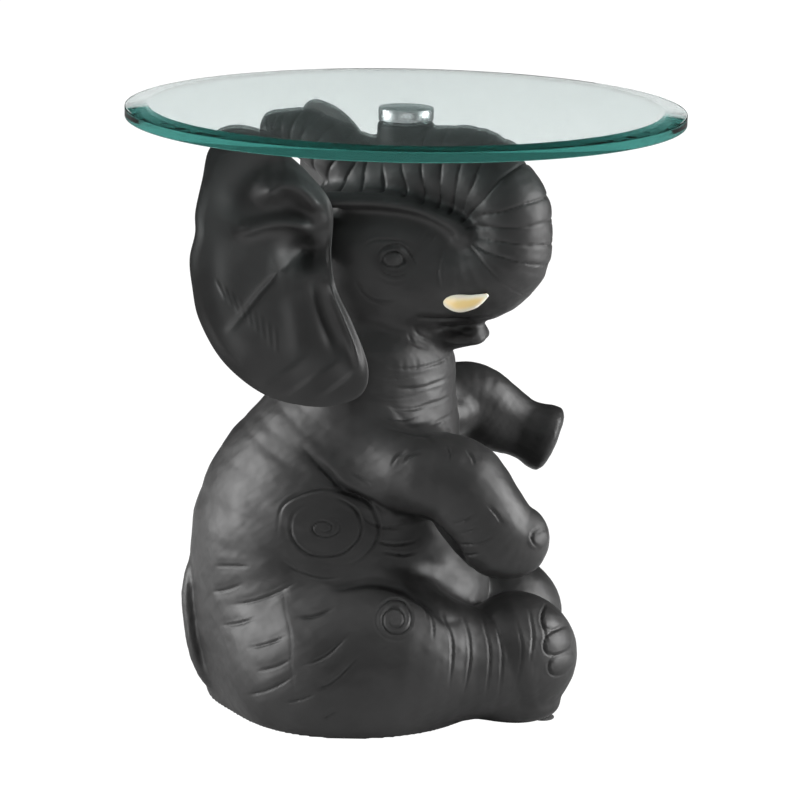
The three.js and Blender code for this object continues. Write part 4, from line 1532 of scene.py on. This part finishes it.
@dataclass
class Studio:
    """Pale floor, surroundings, soft lights and the camera.

    Attributes:
        distance: Metres from the focus to the camera.
        elevation: Degrees that the camera looks down.
        roll: Degrees that the camera is turned about its own axis.
        focus: Point that the camera looks at.
        lens: Focal length in millimetres.
        fill: How strongly the surroundings light the object from the front.
    """

    distance: float = 3.0
    elevation: float = 13.1
    roll: float = 1.07
    focus: tuple[float, float, float] = (-0.0006, 0.0, 0.2537)
    lens: float = 162.9
    fill: float = 0.10

    def build_camera(self) -> None:
        """Camera on a sphere round the focus, looking along +Y and down."""
        e, r = math.radians(self.elevation), math.radians(self.roll)
        back = np.array([0.0, -math.cos(e), math.sin(e)])
        right, up = np.array([1.0, 0.0, 0.0]), np.array([0.0, math.sin(e), math.cos(e)])
        turned_right = math.cos(r) * right + math.sin(r) * up
        turned_up = math.cos(r) * up - math.sin(r) * right
        data = bpy.data.cameras.new("camera")
        data.lens, data.sensor_width, data.clip_end = self.lens, 36.0, 60.0
        camera = bpy.data.objects.new("camera", data)
        place = np.eye(4)
        place[:3, 0], place[:3, 1], place[:3, 2] = turned_right, turned_up, back
        place[:3, 3] = np.array(self.focus) + self.distance * back
        camera.matrix_world = Matrix(place.tolist())
        bpy.context.scene.collection.objects.link(camera)
        bpy.context.scene.camera = camera

    def build_floor(self) -> None:
        """Wide pale floor: mostly even white, with a trace of soft shadow."""
        half = 30.0
        corners = [(-half, -half, 0), (half, -half, 0), (half, half, 0), (-half, half, 0)]
        mesh = bpy.data.meshes.new("floor")
        mesh.from_pydata(corners, [], [(0, 1, 2, 3)])
        floor = bpy.data.objects.new("floor", mesh)
        bpy.context.scene.collection.objects.link(floor)
        made = bpy.data.materials.new("pale_floor")
        nodes = empty_nodes(made)
        matte = nodes.add("ShaderNodeBsdfDiffuse", {"Color": rgba((0.66, 0.66, 0.66))}).outputs[0]
        rays = nodes.add("ShaderNodeLightPath").outputs
        glow = nodes.spread(rays["Is Transmission Ray"], 0.0, 1.0, 1.1, 2.1)
        even = nodes.add("ShaderNodeEmission", {"Color": rgba(WHITE), "Strength": glow}).outputs[0]
        even_share = 0.97
        seen = nodes.math("MAXIMUM", rays["Is Camera Ray"], rays["Is Transmission Ray"])
        share = nodes.math("MULTIPLY", seen, even_share)
        mixed = nodes.add("ShaderNodeMixShader", {0: share, 1: matte, 2: even}).outputs[0]
        nodes.add("ShaderNodeOutputMaterial", {"Surface": mixed})
        mesh.materials.append(made)
        floor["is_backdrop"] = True

    def build_world(self) -> None:
        """White surroundings, dimmer for the light they give than for what is seen.

        Rays that come out after many bounces inside the glass see them too, which lights its rim.
        """
        world = bpy.data.worlds.new("studio")
        bpy.context.scene.world = world
        nodes = empty_nodes(world)
        rays = nodes.add("ShaderNodeLightPath").outputs
        toward = nodes.add("ShaderNodeTexCoord").outputs["Generated"]
        behind = nodes.add("ShaderNodeSeparateXYZ", {0: toward}).outputs["Y"]
        given = nodes.spread(behind, 0.0, 0.7, self.fill, 0.02)
        far_inside = nodes.math("GREATER_THAN", rays["Ray Depth"], 4.5)
        clean = nodes.math("LESS_THAN", rays["Diffuse Depth"], 0.5)
        edge_light = nodes.spread(rays["Transmission Depth"], 2.4, 2.6, 1.0, 0.4)
        through = nodes.math("MULTIPLY", nodes.math("MULTIPLY", rays["Is Transmission Ray"], far_inside),
                             nodes.math("MULTIPLY", clean, edge_light))
        seen = nodes.math("MAXIMUM", rays["Is Camera Ray"], through)
        strength = nodes.spread(seen, 0.0, 1.0, given, 1.0)
        sky = nodes.add("ShaderNodeBackground", {"Color": rgba(WHITE), "Strength": strength}).outputs[0]
        nodes.add("ShaderNodeOutputWorld", {"Surface": sky})

    def build(self, pieces: list[bpy.types.Object]) -> None:
        """Sets up the whole studio.

        Args:
            pieces: Every mesh so far. The glass gets no softbox, only the surroundings, and the
                disc gets two cards of its own.
        """
        self.build_camera()
        self.build_floor()
        self.build_world()
        by_softboxes = bpy.data.collections.new("lit_by_softboxes")
        by_cards = bpy.data.collections.new("lit_by_cards")
        by_softboxes.objects.link(bpy.data.objects["floor"])
        for piece in pieces:
            if piece.name != "glass_round":
                by_softboxes.objects.link(piece)
            if piece.name == "disc_turned":
                by_cards.objects.link(piece)
        for lights, lit in ((SOFTBOXES, by_softboxes), (CARDS, by_cards)):
            for light in lights:
                light.build(lit)
        rays = bpy.context.scene.cycles
        rays.max_bounces, rays.glossy_bounces, rays.transmission_bounces = 64, 60, 64
        view = bpy.context.scene.view_settings
        view.view_transform, view.look, view.exposure, view.gamma = "Standard", "None", 0.0, 1.0


def corners() -> list[list[float]]:
    """Box of everything so far, as plain lists."""
    return [[float(value) for value in corner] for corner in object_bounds()]


def main() -> None:
    """Builds every piece, dresses it and sets up the studio."""
    logging.basicConfig(level=logging.INFO, format="%(message)s", stream=sys.stdout)
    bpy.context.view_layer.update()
    finishes = build_finishes()
    stands_for = {"elephant_legs": ("front_shell",), "elephant_rump": ("rear_shell",)}
    for piece in Sculpture().build():
        dress(piece, finishes, "sculpture", "cast_resin", stands_for.get(piece.name, ()))
    for side in Side:
        dress(Ear().build(side), finishes, "sculpture", "cast_resin", (f"ear_{side.value}",))
        dress(Tusk().build(side), finishes, "sculpture", "tusk_ivory", (f"tusk_{side.value}",))
    fixing = TopFixing()
    dress(fixing.build_insert(), finishes, "sculpture", "insert_brass", ("threaded_insert",))
    dress(fixing.build_washer(), finishes, "washer", "washer_rubber", ("soft_washer",))
    dress(fixing.build_stud(), finishes, "top", "stud_steel", ("stud",))
    dress(fixing.build_disc(), finishes, "top", "turned_metal", ("mount_disc",))
    dress(fixing.build_glass(), finishes, "top", "clear_glass", ("glass_top",))
    base = Base()
    dress(base.build_plate(), finishes, "sculpture", "base_board", ("base_plate",))
    for k, pad in enumerate(base.build_pads(), 1):
        dress(pad, finishes, "sculpture", "pad_felt", (f"pad_{k}",))
    Studio().build([piece for piece in bpy.data.objects if piece.type == "MESH"])


if __name__ == "__main__":
    main()
